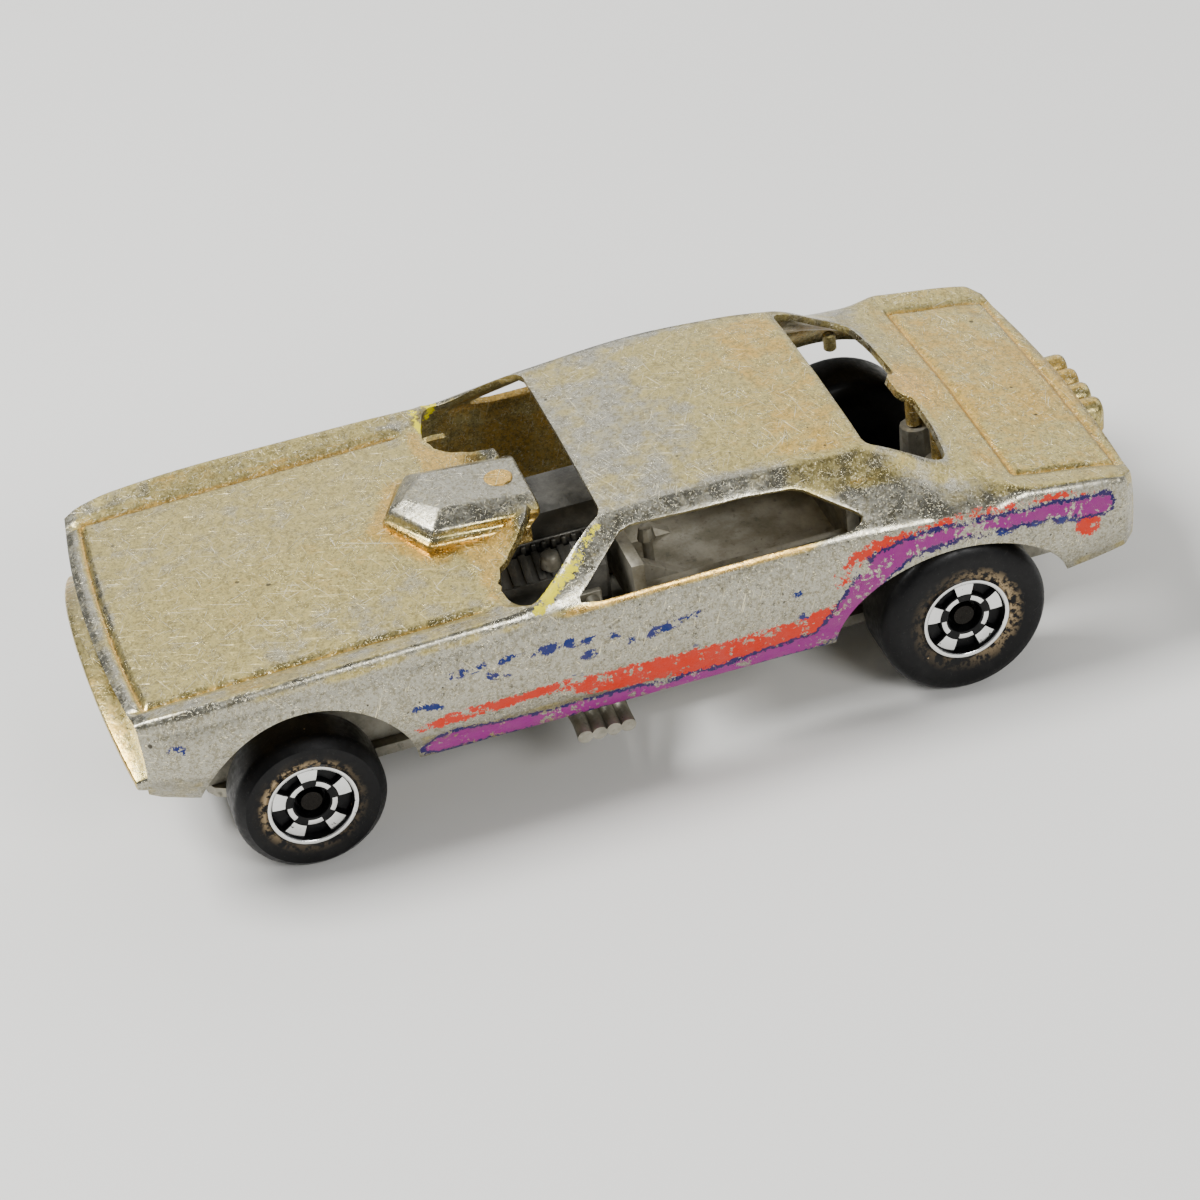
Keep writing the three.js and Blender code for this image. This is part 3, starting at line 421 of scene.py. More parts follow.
class Shader:
    """A material's node tree, with one function that adds a node and its links."""

    def __init__(self, name: str) -> None:
        """Makes an empty material with its output and main shader.

        Args:
            name: the material's name.
        """
        self.material = bpy.data.materials.new(name)
        self.material.use_nodes = True
        self.tree = self.material.node_tree
        self.tree.nodes.clear()
        self.main = self.add("ShaderNodeBsdfPrincipled")
        out = self.add("ShaderNodeOutputMaterial")
        self.tree.links.new(self.main.outputs["BSDF"], out.inputs["Surface"])
        self.place = self.add("ShaderNodeTexCoord").outputs["Object"]

    def add(self, kind: str, inputs: dict | None = None, **settings: object) -> bpy.types.Node:
        """Adds a node.

        Args:
            kind: the node's type.
            inputs: a value or a socket for each named or numbered input.
            settings: properties of the node.

        Returns:
            The new node.
        """
        node = self.tree.nodes.new(kind)
        for key, value in settings.items():
            setattr(node, key, value)
        for key, value in (inputs or {}).items():
            if isinstance(value, bpy.types.NodeSocket):
                self.tree.links.new(value, node.inputs[key])
            else:
                node.inputs[key].default_value = value
        return node

    def math(self, operation: str, *values: object) -> bpy.types.NodeSocket:
        """Adds a math node.

        Args:
            operation: the node's operation, ending in _CLAMP for a result limited to 0..1.
            values: a number or a socket for each input.

        Returns:
            The node's result.
        """
        clamp = operation.endswith("_CLAMP")
        node = self.add("ShaderNodeMath", dict(enumerate(values)),
                        operation=operation.removesuffix("_CLAMP"), use_clamp=clamp)
        return node.outputs[0]

    def ramp(
        self, value: object, low: float, high: float, to_low: float = 0.0, to_high: float = 1.0
    ) -> bpy.types.NodeSocket:
        """Adds a smooth step of a value from one range to another.

        Args:
            value: the value.
            low: value at which the step starts.
            high: value at which it ends.
            to_low: result up to the start.
            to_high: result from the end on.

        Returns:
            The result.
        """
        node = self.add("ShaderNodeMapRange", {
            "Value": value, "From Min": low, "From Max": high, "To Min": to_low, "To Max": to_high,
        }, interpolation_type="SMOOTHSTEP")
        return node.outputs["Result"]

    def mix(self, share: object, a: object, b: object) -> bpy.types.NodeSocket:
        """Returns a mix of two colours."""
        node = self.add("ShaderNodeMix", {"Factor": share, "A": a, "B": b}, data_type="RGBA")
        return node.outputs["Result"]

    def stored(self, name: str) -> bpy.types.NodeSocket:
        """Returns the number that vertices store under a name."""
        return self.add("ShaderNodeAttribute", attribute_name=name).outputs["Fac"]

    def noise(
        self, per_mm: float, detail: float = 3.0, rough: float = 0.55, at: object = None
    ) -> bpy.types.NodeSocket:
        """Adds soft noise.

        Args:
            per_mm: waves for each millimetre.
            detail: how many finer layers it has.
            rough: strength of each finer layer.
            at: the place to read, or None for the piece's own place.

        Returns:
            The noise, from 0 to 1 and mostly from 0.3 to 0.7.
        """
        where = self.place if at is None else at
        node = self.add("ShaderNodeTexNoise", {
            "Vector": where, "Scale": per_mm / MM, "Detail": detail, "Roughness": rough,
        })
        return node.outputs["Fac"]

    def turned(self, turn_deg: tuple, stretch: tuple) -> bpy.types.NodeSocket:
        """Turns and then stretches the place, for patterns with a direction.

        Args:
            turn_deg: rotation about x, y and z in degrees.
            stretch: how far the pattern is drawn out on each axis.

        Returns:
            The place for the pattern to read.
        """
        turn = tuple(math.radians(a) for a in turn_deg)
        node = self.add("ShaderNodeMapping", {"Vector": self.place, "Rotation": turn, "Scale": stretch},
                        vector_type="TEXTURE")
        return node.outputs["Vector"]

    def scratches(self, turns: Sequence[tuple], width_mm: float, long_mm: float, cover: float) -> object:
        """Adds thin lines that run in several directions.

        Args:
            turns: rotation in degrees of each family of lines.
            width_mm: width of a line.
            long_mm: rough length of a line.
            cover: share of the surface, from 0 to 1, that each family may mark.

        Returns:
            A socket that is 1 on a scratch.
        """
        total: object = 0.0
        for turn in turns:
            at = self.turned(turn, (1.0, long_mm / width_mm, 1.0))
            lines = self.noise(0.5 / width_mm, 1.0, 0.5, at)
            mark = self.ramp(lines, 0.78 - cover, 0.84 - cover)
            total = self.math("MAXIMUM", total, mark)
        return total

    def specks(self, per_mm: float, size: float, share: float) -> bpy.types.NodeSocket:
        """Adds round specks of random size.

        Args:
            per_mm: cells for each millimetre.
            size: radius of the largest speck, as a share of a cell.
            share: share of the cells that hold one.

        Returns:
            A socket that is 1 on a speck.
        """
        cell = self.add("ShaderNodeTexVoronoi", {"Vector": self.place, "Scale": per_mm / MM})
        pick = self.add("ShaderNodeSeparateColor", {"Color": cell.outputs["Color"]}).outputs[0]
        reach = self.ramp(pick, 1 - share, 1.0, 0.0, size)
        inside = self.math("SUBTRACT", reach, cell.outputs["Distance"])
        return self.ramp(inside, 0.0, size * 0.35)

    def bump(
        self, height: object, depth_mm: float, strength: float = 1.0, under: object = None
    ) -> bpy.types.NodeSocket:
        """Adds raised and sunken detail.

        Args:
            height: the height, from 0 to 1.
            depth_mm: how many millimetres 1 stands for.
            strength: share of the effect.
            under: a normal that this one lies on, or None.

        Returns:
            The normal.
        """
        node = self.add("ShaderNodeBump", {"Height": height, "Distance": depth_mm * MM,
                                           "Strength": strength})
        if under is not None:
            self.tree.links.new(under, node.inputs["Normal"])
        return node.outputs["Normal"]

    def finish(self, **inputs: object) -> bpy.types.Material:
        """Sets the main shader's inputs.

        Args:
            inputs: a value or a socket for each input, with underscores for the spaces in its name.

        Returns:
            The material.
        """
        for key, value in inputs.items():
            socket = self.main.inputs[key.replace("_", " ")]
            if isinstance(value, bpy.types.NodeSocket):
                self.tree.links.new(value, socket)
            else:
                socket.default_value = value
        return self.material


# Each family of scratches runs one way: rotation about x, y and z in degrees.
SCRATCH_TURNS = ((0, 0, 20), (0, 0, 65), (0, 0, 110), (0, 0, 155), (70, 0, 8))
LONG_SCRATCH_TURNS = ((0, 0, 42), (0, 0, 96), (50, 0, 170))
TREAD_SCRATCH_TURNS = ((20, 0, 30), (75, 20, 0), (120, 0, 60))
FOIL_SCRATCH_TURNS = ((30, 0, 10), (80, 30, 0))


@dataclass(frozen=True)
class WornPlating:
    """Vacuum gold plating over cast zinc, handled until it shows grey metal on what stands out.

    Bright and warm where it is whole, thin and brassy where it is rubbed, and soft grey where it is gone.
    """

    gold: str = "#D3AE58"
    deep_gold: str = "#DDB35E"
    brass: str = "#C2B274"
    zinc: str = "#ABA899"
    # Near-white colour painted on glints and scratches: a painted highlight.
    painted_highlight: str = "#F3E9C4"
    grain: str = "#665C38"
    # The dirt colour also serves as painted shade on the shell's inner and downward faces.
    dirt: str = "#2E2A20"
    orange: str = "#C62806"
    magenta: str = "#862173"
    outline: str = "#150A50"
    blue: str = "#052466"
    lacquer: str = "#D3C60F"
    faded: str = "#8A6A66"
    # Typical hairline scratches are about 0.02 mm wide and wouldn't show, so these are drawn wider.
    scratch_mm: float = 0.055
    long_scratch_mm: float = 0.08

    def build(self) -> bpy.types.Material:
        """Makes the material, which reads the shell's own stored masks.

        Returns:
            The material.
        """
        s = Shader("worn_gold_plating_over_zinc")
        side, recess, wear = s.stored("side"), s.stored("recess"), s.stored("wear")
        broad, middling, fine = s.noise(0.09, 3), s.noise(0.7, 4, 0.65), s.noise(5.0, 3, 0.7)
        marks = s.math("MAXIMUM", s.scratches(SCRATCH_TURNS, self.scratch_mm, 1.5, 0.1),
                       s.scratches(LONG_SCRATCH_TURNS, self.long_scratch_mm, 5.0, 0.06))
        marks = s.math("MULTIPLY", marks, s.ramp(s.noise(0.5, 3), 0.34, 0.6, 0.4, 1.0))
        # Gold stays where fingers don't reach: in grooves, corners and hollows.
        kept = s.math("MULTIPLY", recess, 0.95)
        kept = s.math("ADD", kept, s.ramp(broad, 0.3, 0.7, 0.34, 0.62))
        kept = s.math("ADD", kept, s.ramp(middling, 0.3, 0.7, -0.16, 0.16))
        kept = s.math("SUBTRACT", kept, s.math("MULTIPLY", side, 0.7))
        kept = s.math("SUBTRACT", kept, s.math("MULTIPLY", wear, 0.7))
        kept = s.math("SUBTRACT", kept, s.math("MULTIPLY", marks, 0.12))
        # What is kept goes from bare zinc through brassy thin plating to whole gold.
        thin = s.ramp(kept, 0.08, 0.5)
        thick = s.ramp(kept, 0.6, 1.05)
        metal = s.mix(thin, linear(self.zinc), linear(self.brass))
        metal = s.mix(thick, metal, linear(self.gold))
        metal = s.mix(s.ramp(recess, 0.5, 0.95), metal, linear(self.deep_gold))
        # The casting's grain of about 0.05 mm is drawn four times as coarse, so that it shows.
        patchy = s.math("ADD", s.math("MULTIPLY", fine, 0.6), s.math("MULTIPLY", s.noise(1.7, 4, 0.7), 0.4))
        metal = s.mix(s.ramp(patchy, 0.44, 0.6, 0.0, 0.6), metal, linear(self.grain))
        # Scratches are real marks; their near-white colour is a painted highlight.
        metal = s.mix(s.math("MULTIPLY", marks, 0.8), metal, linear(self.painted_highlight))
        # Painted highlights: bright specks of the near-white colour stand in for glints of light off the
        # metal.
        painted_glints = s.math("MULTIPLY", s.specks(2.0, 0.2, 0.34), 0.75)
        metal = s.mix(painted_glints, metal, linear(self.painted_highlight))
        pits = s.math("MAXIMUM", s.specks(1.6, 0.15, 0.3), s.specks(0.75, 0.16, 0.22))
        grime = s.math("MULTIPLY", s.ramp(s.noise(2.6, 5, 0.78), 0.57, 0.63),
                       s.ramp(s.noise(0.25, 3), 0.42, 0.62))
        grime = s.math("MULTIPLY", grime, s.ramp(side, 0.0, 1.0, 0.3, 1.0))
        dirt_and_painted_shade = s.math("MAXIMUM", s.math("MULTIPLY", pits, 0.85), s.math("MULTIPLY", grime, 0.7))
        # Painted shade: the shell's inner and downward faces are darkened towards the dirt colour.
        dirt_and_painted_shade = s.math("MAXIMUM", dirt_and_painted_shade, s.math("MULTIPLY", s.stored("inside"), 0.3))
        metal = s.mix(dirt_and_painted_shade, metal, linear(self.dirt))
        colour, ink = self.print_on(s, metal)
        rough = s.math("ADD", s.ramp(middling, 0.3, 0.7, 0.2, 0.38), s.math("MULTIPLY", dirt_and_painted_shade, 0.25))
        rough = s.math("ADD", rough, s.math("MULTIPLY", marks, 0.08))
        rough = s.math("ADD", rough, s.math("MULTIPLY", ink, 0.1))
        metallic = s.math("SUBTRACT_CLAMP", 1.0, s.math("MAXIMUM", ink, s.math("MULTIPLY", dirt_and_painted_shade, 0.7)))
        cast = s.bump(s.noise(1.2, 4, 0.6), 0.045)
        worn = s.bump(s.math("SUBTRACT", s.math("MULTIPLY", fine, 0.35), s.math("ADD", marks, pits)),
                      0.02, 1.0, cast)
        return s.finish(Base_Color=colour, Roughness=rough, Metallic=metallic, Normal=worn,
                        Specular_IOR_Level=0.2)

    def print_on(self, s: Shader, metal: bpy.types.NodeSocket) -> tuple:
        """Lays the worn printed stripes over the metal.

        Args:
            s: the material's shader tree.
            metal: colour of the metal below.

        Returns:
            The colour with the stripes, and a socket that is 1 under ink.
        """
        chips = s.math("ADD", s.math("MULTIPLY", s.noise(0.55, 3, 0.6), 0.5),
                       s.math("MULTIPLY", s.noise(2.4, 5, 0.75), 0.5))
        whole = s.ramp(chips, 0.43, 0.46)
        sparse = s.ramp(s.noise(1.1, 4, 0.65), 0.5, 0.53)
        edge = s.ramp(s.noise(2.2, 4, 0.7), 0.3, 0.7, -0.2, 0.2)

        def within(name: str, out_to: float = 0.0, from_in: float = -9.0) -> bpy.types.NodeSocket:
            """Marks where a stored distance lies in a range, with a ragged edge.

            Args:
                name: name of the stored distance.
                out_to: how far outside the edge the range ends.
                from_in: how far inside the edge it starts.

            Returns:
                A socket that is 1 in the range.
            """
            d = s.math("ADD", s.stored(name), edge)
            low = s.ramp(d, out_to - 0.03, out_to + 0.03, 1.0, 0.0)
            high = s.ramp(d, from_in - 0.03, from_in + 0.03)
            return s.math("MULTIPLY", low, high)

        layers = [
            (within("ink_orange"), whole, self.orange),
            (within("ink_orange_rear"), s.ramp(chips, 0.465, 0.495), self.orange),
            (within("ink_magenta", 0.34, 0.0), whole, self.outline),
            (within("ink_magenta"), whole, self.magenta),
            (within("ink_fleck"), sparse, self.blue),
            (within("ink_lacquer"), s.ramp(chips, 0.47, 0.5), self.lacquer),
        ]
        colour: object = metal
        ink: object = 0.0
        for area, chipped, code in layers:
            cover = s.math("MULTIPLY", area, chipped)
            fading = s.ramp(s.noise(0.8, 3), 0.3, 0.7, 0.0, 0.14)
            shade_of = s.mix(fading, linear(code), linear(self.faded))
            colour = s.mix(cover, colour, shade_of if code != self.lacquer else linear(code))
            ink = s.math("MAXIMUM", ink, cover)
        return colour, ink


@dataclass(frozen=True)
class BareZinc:
    """Unplated zinc casting: pale beige grey, grained by the mould, with blotches and specks of dirt."""

    light: str = "#A8A496"
    dark: str = "#6F6C60"
    dirt: str = "#37342B"
    roughness: float = 0.5

    def build(self, name: str) -> bpy.types.Material:
        """Makes the material under a name.

        Args:
            name: the material's name.

        Returns:
            The material.
        """
        s = Shader(name)
        cloudy = s.noise(0.35, 4, 0.6)
        # The mould's grain is about 0.05 mm and is drawn at 0.25 mm to show.
        grain = s.noise(4.0, 3, 0.7)
        metal = s.mix(s.ramp(cloudy, 0.3, 0.7), linear(self.light), linear(self.dark))
        soil = s.math("MAXIMUM", s.math("MULTIPLY", s.ramp(s.noise(1.1, 5, 0.7), 0.55, 0.7), 0.6),
                      s.math("MULTIPLY", s.specks(1.1, 0.1, 0.2), 0.8))
        metal = s.mix(soil, metal, linear(self.dirt))
        rough = s.ramp(grain, 0.3, 0.7, self.roughness - 0.08, self.roughness + 0.12)
        metallic = s.ramp(soil, 0.0, 0.8, 0.85, 0.1)
        normal = s.bump(grain, 0.02, 0.9, s.bump(cloudy, 0.05))
        return s.finish(Base_Color=metal, Roughness=rough, Metallic=metallic, Normal=normal)


@dataclass(frozen=True)
class SteelWire:
    """Drawn steel wire and rivets: cool grey with fine lines and a little tarnish."""

    colour: str = "#B4B5B6"
    tarnish: str = "#6B6258"

    def build(self, name: str) -> bpy.types.Material:
        """Makes the material under a name.

        Args:
            name: the material's name.

        Returns:
            The material.
        """
        s = Shader(name)
        # Lines from the drawing die run along x. They are drawn coarser than the typical 0.02 mm to show.
        lines = s.noise(3.5, 2, 0.5, s.turned((0, 0, 0), (20.0, 1.0, 1.0)))
        stain = s.ramp(s.noise(0.9, 4, 0.65), 0.5, 0.75)
        colour = s.mix(stain, linear(self.colour), linear(self.tarnish))
        rough = s.ramp(lines, 0.3, 0.7, 0.22, 0.4)
        return s.finish(Base_Color=colour, Roughness=rough, Metallic=1.0, Normal=s.bump(lines, 0.006))


@dataclass(frozen=True)
class WheelPlastic:
    """Moulded black polystyrene: satin on the tread, scuffed at the shoulder, with dust caught in."""

    black: str = "#030304"
    scuff: str = "#201F1E"
    dust: str = "#AB9470"
    # Drawn about three times as wide as typical scuffs, so that they show.
    scratch_mm: float = 0.07

    def build(self) -> bpy.types.Material:
        """Makes the material.

        Returns:
            The material.
        """
        s = Shader("moulded_black_polystyrene")
        marks = s.scratches(TREAD_SCRATCH_TURNS, self.scratch_mm, 1.6, 0.075)
        worn = s.math("MULTIPLY", s.ramp(s.noise(0.5, 4, 0.6), 0.48, 0.72), 0.3)
        dusty = s.math("MULTIPLY", s.stored("dust"), s.ramp(s.noise(1.6, 5, 0.7), 0.44, 0.56))
        colour = s.mix(s.math("MAXIMUM", worn, s.math("MULTIPLY", marks, 0.5)), linear(self.black),
                       linear(self.scuff))
        soil = s.math("MAXIMUM", dusty, s.math("MULTIPLY", s.specks(0.9, 0.07, 0.2), 0.6))
        colour = s.mix(soil, colour, linear(self.dust))
        rough = s.math("ADD", s.ramp(s.noise(2.5, 3), 0.3, 0.7, 0.34, 0.5), s.math("MULTIPLY", soil, 0.4))
        normal = s.bump(s.math("SUBTRACT", s.noise(3.5, 3), marks), 0.012, 0.7)
        return s.finish(Base_Color=colour, Roughness=rough, Normal=normal, Specular_IOR_Level=0.2)


@dataclass(frozen=True)
class ChromeFoil:
    """Hot-stamped chrome foil: near mirror, with fine scuffs and specks rubbed through."""

    bright: str = "#E2E2E0"
    rubbed: str = "#3A3936"
    # Drawn about three times as wide as typical scuffs, so that they show.
    scratch_mm: float = 0.05

    def build(self) -> bpy.types.Material:
        """Makes the material.

        Returns:
            The material.
        """
        s = Shader("hot_stamped_chrome_foil")
        marks = s.scratches(FOIL_SCRATCH_TURNS, self.scratch_mm, 1.0, 0.09)
        gone = s.math("MAXIMUM", s.specks(1.2, 0.11, 0.22), s.ramp(s.noise(1.5, 5, 0.7), 0.64, 0.67))
        colour = s.mix(gone, linear(self.bright), linear(self.rubbed))
        haze = s.ramp(s.noise(1.8, 3), 0.3, 0.7, 0.12, 0.26)
        rough = s.math("ADD", haze, s.math("MULTIPLY", marks, 0.2))
        metallic = s.ramp(gone, 0.0, 1.0, 1.0, 0.2)
        return s.finish(Base_Color=colour, Roughness=rough, Metallic=metallic,
                        Normal=s.bump(s.noise(2.5, 3), 0.01, 0.6))


@dataclass(frozen=True)
class PaleFloor:
    """A plain matt pale surface under the car."""

    colour: str = "#D9D8D4"
    cloud: str = "#C8C6C0"

    def build(self) -> bpy.types.Material:
        """Makes the material.

        Returns:
            The material.
        """
        s = Shader("pale_matt_board")
        tone = s.ramp(s.noise(0.02, 2), 0.3, 0.7, 0.0, 0.04)
        return s.finish(Base_Color=s.mix(tone, linear(self.colour), linear(self.cloud)), Roughness=0.75)


# ---- The shape of the body ----


@dataclass(frozen=True)
class Station:
    """One key section of the body: places in millimetres as (x, z), and two shape numbers."""

    y: float
    centre: float
    hip: tuple[float, float]
    edge: tuple[float, float]
    belt: tuple[float, float]
    sill: tuple[float, float]
    full: float
    bulge: float

    def row(self) -> list[float]:
        """Returns the station's numbers after y, in order."""
        return [self.centre, *self.hip, *self.edge, *self.belt, *self.sill, self.full, self.bulge]


STATIONS = (
    Station(-36.8, 16.0, (12.0, 15.65), (13.7, 15.85), (14.2, 14.9), (13.2, 9.65), 0.9, 0.3),
    Station(-35.6, 16.26, (12.3, 15.9), (14.1, 16.2), (14.6, 15.1), (13.3, 9.15), 0.9, 0.5),
    Station(-32.3, 16.4, (12.3, 16.0), (14.55, 16.55), (15.1, 15.3), (14.0, 8.65), 0.95, 0.55),
    Station(-25.3, 16.6, (12.3, 16.15), (14.8, 16.8), (15.3, 15.6), (14.4, 7.75), 0.95, 0.5),
    Station(-14.6, 17.0, (12.3, 16.35), (14.7, 16.9), (15.15, 15.7), (14.1, 7.15), 0.9, 0.6),
    Station(-8.6, 17.05, (12.4, 16.5), (14.4, 16.95), (15.0, 16.0), (14.1, 7.15), 0.7, 0.6),
    Station(-1.6, 20.4, (7.3, 20.3), (10.6, 20.1), (14.8, 16.0), (14.1, 7.15), 0.2, 0.6),
    Station(7.04, 20.8, (7.5, 20.65), (10.9, 20.45), (14.75, 15.95), (14.1, 7.15), 0.2, 0.6),
    Station(13.6, 20.45, (7.5, 20.35), (10.85, 20.1), (14.9, 16.0), (14.2, 7.15), 0.12, 0.6),
    Station(17.6, 20.05, (7.3, 19.9), (10.6, 19.65), (15.1, 15.9), (14.3, 7.2), 0.0, 0.6),
    Station(23.7, 17.35, (7.3, 17.2), (10.7, 16.85), (15.3, 15.5), (14.6, 7.5), 0.35, 0.5),
    Station(27.5, 16.3, (12.4, 15.85), (14.65, 16.05), (15.4, 14.9), (14.7, 7.95), 0.9, 0.35),
    Station(35.0, 14.8, (12.5, 14.65), (14.7, 14.9), (15.2, 13.7), (14.6, 8.9), 0.9, 0.2),
    Station(36.2, 14.35, (12.1, 14.2), (13.8, 14.4), (14.3, 13.35), (13.8, 9.25), 0.7, 0.1),
)
NOSE, TAIL, HALF = STATIONS[0].y, STATIONS[-1].y, 15.0
NOSE_BOW, TAIL_BOW, BOW_REACH = 1.1, 0.8, 9.0


def station_values(y: np.ndarray) -> np.ndarray:
    """Reads the key sections at any places along the car.

    Args:
        y: places in millimetres.

    Returns:
        One row of section numbers for each place, smooth and never past its key values.
    """
    keys = np.array([s.y for s in STATIONS])
    rows = np.array([s.row() for s in STATIONS])
    rise = np.diff(rows, axis=0) / np.diff(keys)[:, None]
    a, b = rise[:-1], rise[1:]
    safe = np.where(a * b > 0, a + b, 1.0)
    slope = np.vstack([rise[:1], np.where(a * b > 0, 2 * a * b / safe, 0.0), rise[-1:]])
    i = np.clip(np.searchsorted(keys, y, side="right") - 1, 0, len(keys) - 2)
    width = (keys[i + 1] - keys[i])[:, None]
    t = np.clip((y - keys[i])[:, None] / width, 0, 1)
    return (
        rows[i] * (2 * t**3 - 3 * t**2 + 1) + rows[i + 1] * (3 * t**2 - 2 * t**3)
        + width * (slope[i] * (t**3 - 2 * t**2 + t) + slope[i + 1] * (t**3 - t**2))
    )


def bend(a: np.ndarray, b: np.ndarray, c: np.ndarray, t: np.ndarray) -> np.ndarray:
    """Draws quadratic curves.

    Args:
        a: each curve's start as (x, z).
        b: each curve's middle control point.
        c: each curve's end.
        t: shares of the way, from 0 to 1.

    Returns:
        One row of points for each curve, with one column for each share.
    """
    a, b, c = a[:, None, :], b[:, None, :], c[:, None, :]
    t = t[None, :, None]
    return a * (1 - t) ** 2 + 2 * b * t * (1 - t) + c * t**2


def half_sections(y: np.ndarray, wall: float, counts: Sequence[int]) -> np.ndarray:
    """Draws half of the section at each place.

    Args:
        y: places in millimetres.
        wall: how far the section lies inside the outer face.
        counts: steps over the top, the hip strip, the shoulder and the side.

    Returns:
        An array of places by points by (x, z), from the centre line to the sill.
    """
    v = station_values(y)
    full, bulge = v[:, 9:10], v[:, 10:11]
    top = np.column_stack([np.zeros(len(y)), v[:, 0] - wall])
    hip = v[:, 1:3] - [0, wall]
    edge = v[:, 3:5] - [wall, wall]
    belt = v[:, 5:7] - [wall, 0]
    sill = v[:, 7:9] - [wall, 0]
    middle = (edge + belt) / 2
    corner = np.column_stack([belt[:, 0], edge[:, 1]])
    shoulder = middle * (1 - full) + corner * full
    swell = np.column_stack([belt[:, 0] + bulge[:, 0] * 2, belt[:, 1] * 0.55 + sill[:, 1] * 0.45])

    def even(count: int) -> np.ndarray:
        """Returns even steps from 0 up to but not including 1."""
        return np.arange(count) / count

    # Columns crowd together near the hip groove.
    near_hip = 1 - (1 - even(counts[0])) ** 1.6
    parts = [
        bend(top, (top + hip) / 2, hip, near_hip),
        bend(hip, (hip + edge) / 2, edge, even(counts[1])),
        bend(edge, shoulder, belt, even(counts[2])),
        bend(belt, swell, sill, even(counts[3])),
        sill[:, None, :],
    ]
    return np.concatenate(parts, axis=1)


def bow(x: np.ndarray, y: np.ndarray) -> np.ndarray:
    """Bows the nose and tail as seen from above.

    Args:
        x: the points' places across the car.
        y: their places along it.

    Returns:
        The move along y in millimetres.
    """
    nose = np.maximum(0, 1 - (y - NOSE) / BOW_REACH) ** 2
    tail = np.maximum(0, 1 - (TAIL - y) / BOW_REACH) ** 2
    return (x / HALF) ** 2 * (NOSE_BOW * nose - TAIL_BOW * tail)


@dataclass(frozen=True)
class Outline:
    """A closed outline with rounded corners, as a signed distance: below 0 is inside."""

    corners: tuple[tuple[float, float], ...]
    radius: float = 0.5

    def distance(self, a: np.ndarray, b: np.ndarray) -> np.ndarray:
        """Measures points from the outline.

        Args:
            a: first coordinates of the points.
            b: second coordinates.

        Returns:
            The signed distance in millimetres.
        """
        loop = np.array(self.corners, float)
        near = np.full(a.shape, 1e9)
        inside = np.zeros(a.shape, bool)
        for p, q in zip(loop, np.roll(loop, -1, axis=0)):
            run = q - p
            t = np.clip(((a - p[0]) * run[0] + (b - p[1]) * run[1]) / (run @ run), 0, 1)
            near = np.minimum(near, np.hypot(a - p[0] - t * run[0], b - p[1] - t * run[1]))
            crosses = (p[1] > b) != (q[1] > b)
            if run[1] != 0:
                inside ^= crosses & (a < p[0] + (b - p[1]) / run[1] * run[0])
        return np.where(inside, -near, near)


def mirrored(points: Sequence[tuple[float, float]]) -> tuple[tuple[float, float], ...]:
    """Returns a half outline with its mirror image across x = 0."""
    return tuple(points) + tuple((-x, y) for x, y in reversed(points))


COWL, ROOF_FRONT, ROOF_REAR, DECK_FRONT = -8.6, -1.6, 17.6, 24.1
ROOF_Z, WINDOW_BASE = 20.6, 16.25
WINDSHIELD = Outline(mirrored((
    (3.3, COWL + 3.3), (4.3, COWL + 3.1), (6.2, COWL + 1.7), (8.7, COWL - 0.4), (10.6, COWL - 0.85),
    (12.0, COWL - 0.7), (13.7, COWL - 0.1), (14.1, COWL + 0.6), (10.3, ROOF_FRONT - 0.25),
    (9.6, ROOF_FRONT),
)))
OVER_SCOOP = Outline(mirrored(((0.6, -13.4), (2.9, -12.4), (3.2, -5.2), (4.3, -4.8), (4.3, ROOF_FRONT))))
REAR_WINDOW = Outline(mirrored((
    (1.2, DECK_FRONT - 0.9), (1.62, DECK_FRONT - 0.75), (1.7, DECK_FRONT - 0.1),
    (2.1, DECK_FRONT - 0.05), (6.0, DECK_FRONT - 0.15), (9.6, DECK_FRONT - 0.6),
    (10.35, DECK_FRONT - 1.0), (10.6, DECK_FRONT - 1.8), (10.3, ROOF_REAR + 2), (9.9, ROOF_REAR + 0.3),
    (9.4, ROOF_REAR),
)))
SIDE_WINDOW = Outline((
    (COWL + 3.3, WINDOW_BASE + 0.3), (COWL + 5.2, WINDOW_BASE - 0.05), (12.6, WINDOW_BASE - 0.05),
    (14.6, WINDOW_BASE + 0.05), (15.8, WINDOW_BASE + 0.45), (15.5, WINDOW_BASE + 0.85),
    (12.2, ROOF_Z - 1.6), (11.4, ROOF_Z - 1.35), (8.0, ROOF_Z - 1.05), (ROOF_FRONT + 1.6, ROOF_Z - 1.05),
    (ROOF_FRONT + 0.7, ROOF_Z - 1.25),
))
# Each wheel arch: its middle's y and z, and its reach along and up.
ARCHES = ((-25.2, 6.7, 7.7, 7.65), (21.6, 6.9, 8.75, 6.25))
CROSS_LINES = (-35.3, 27.5, 35.1)
HOOD_LINE_X, HOOD_LINE_REAR, NOSE_LINE_Y, SILL_LINE_Z = 12.3, -11.1, -35.58, 8.35
TRUNK_LID = Outline(((-12.4, 27.5), (12.4, 27.5), (12.6, 35.1), (-12.6, 35.1)))
# Lines as (x, y) and as (y, z, width).
COWL_RIDGE = ((4.6, -10.2), (8.7, -10.35), (11.8, -10.3), (13.2, -9.9), (14.2, -8.6))
PILLAR_STREAK = ((-7.9, 16.7, 0.6), (-4.6, 18.35, 0.5), (-2.2, 19.8, 0.2))
FAR_AWAY = 9.0  # stands for any distance too large to matter, in millimetres
PIN_MARK_Y, PIN_MARK_RADIUS = -6.4, 1.05


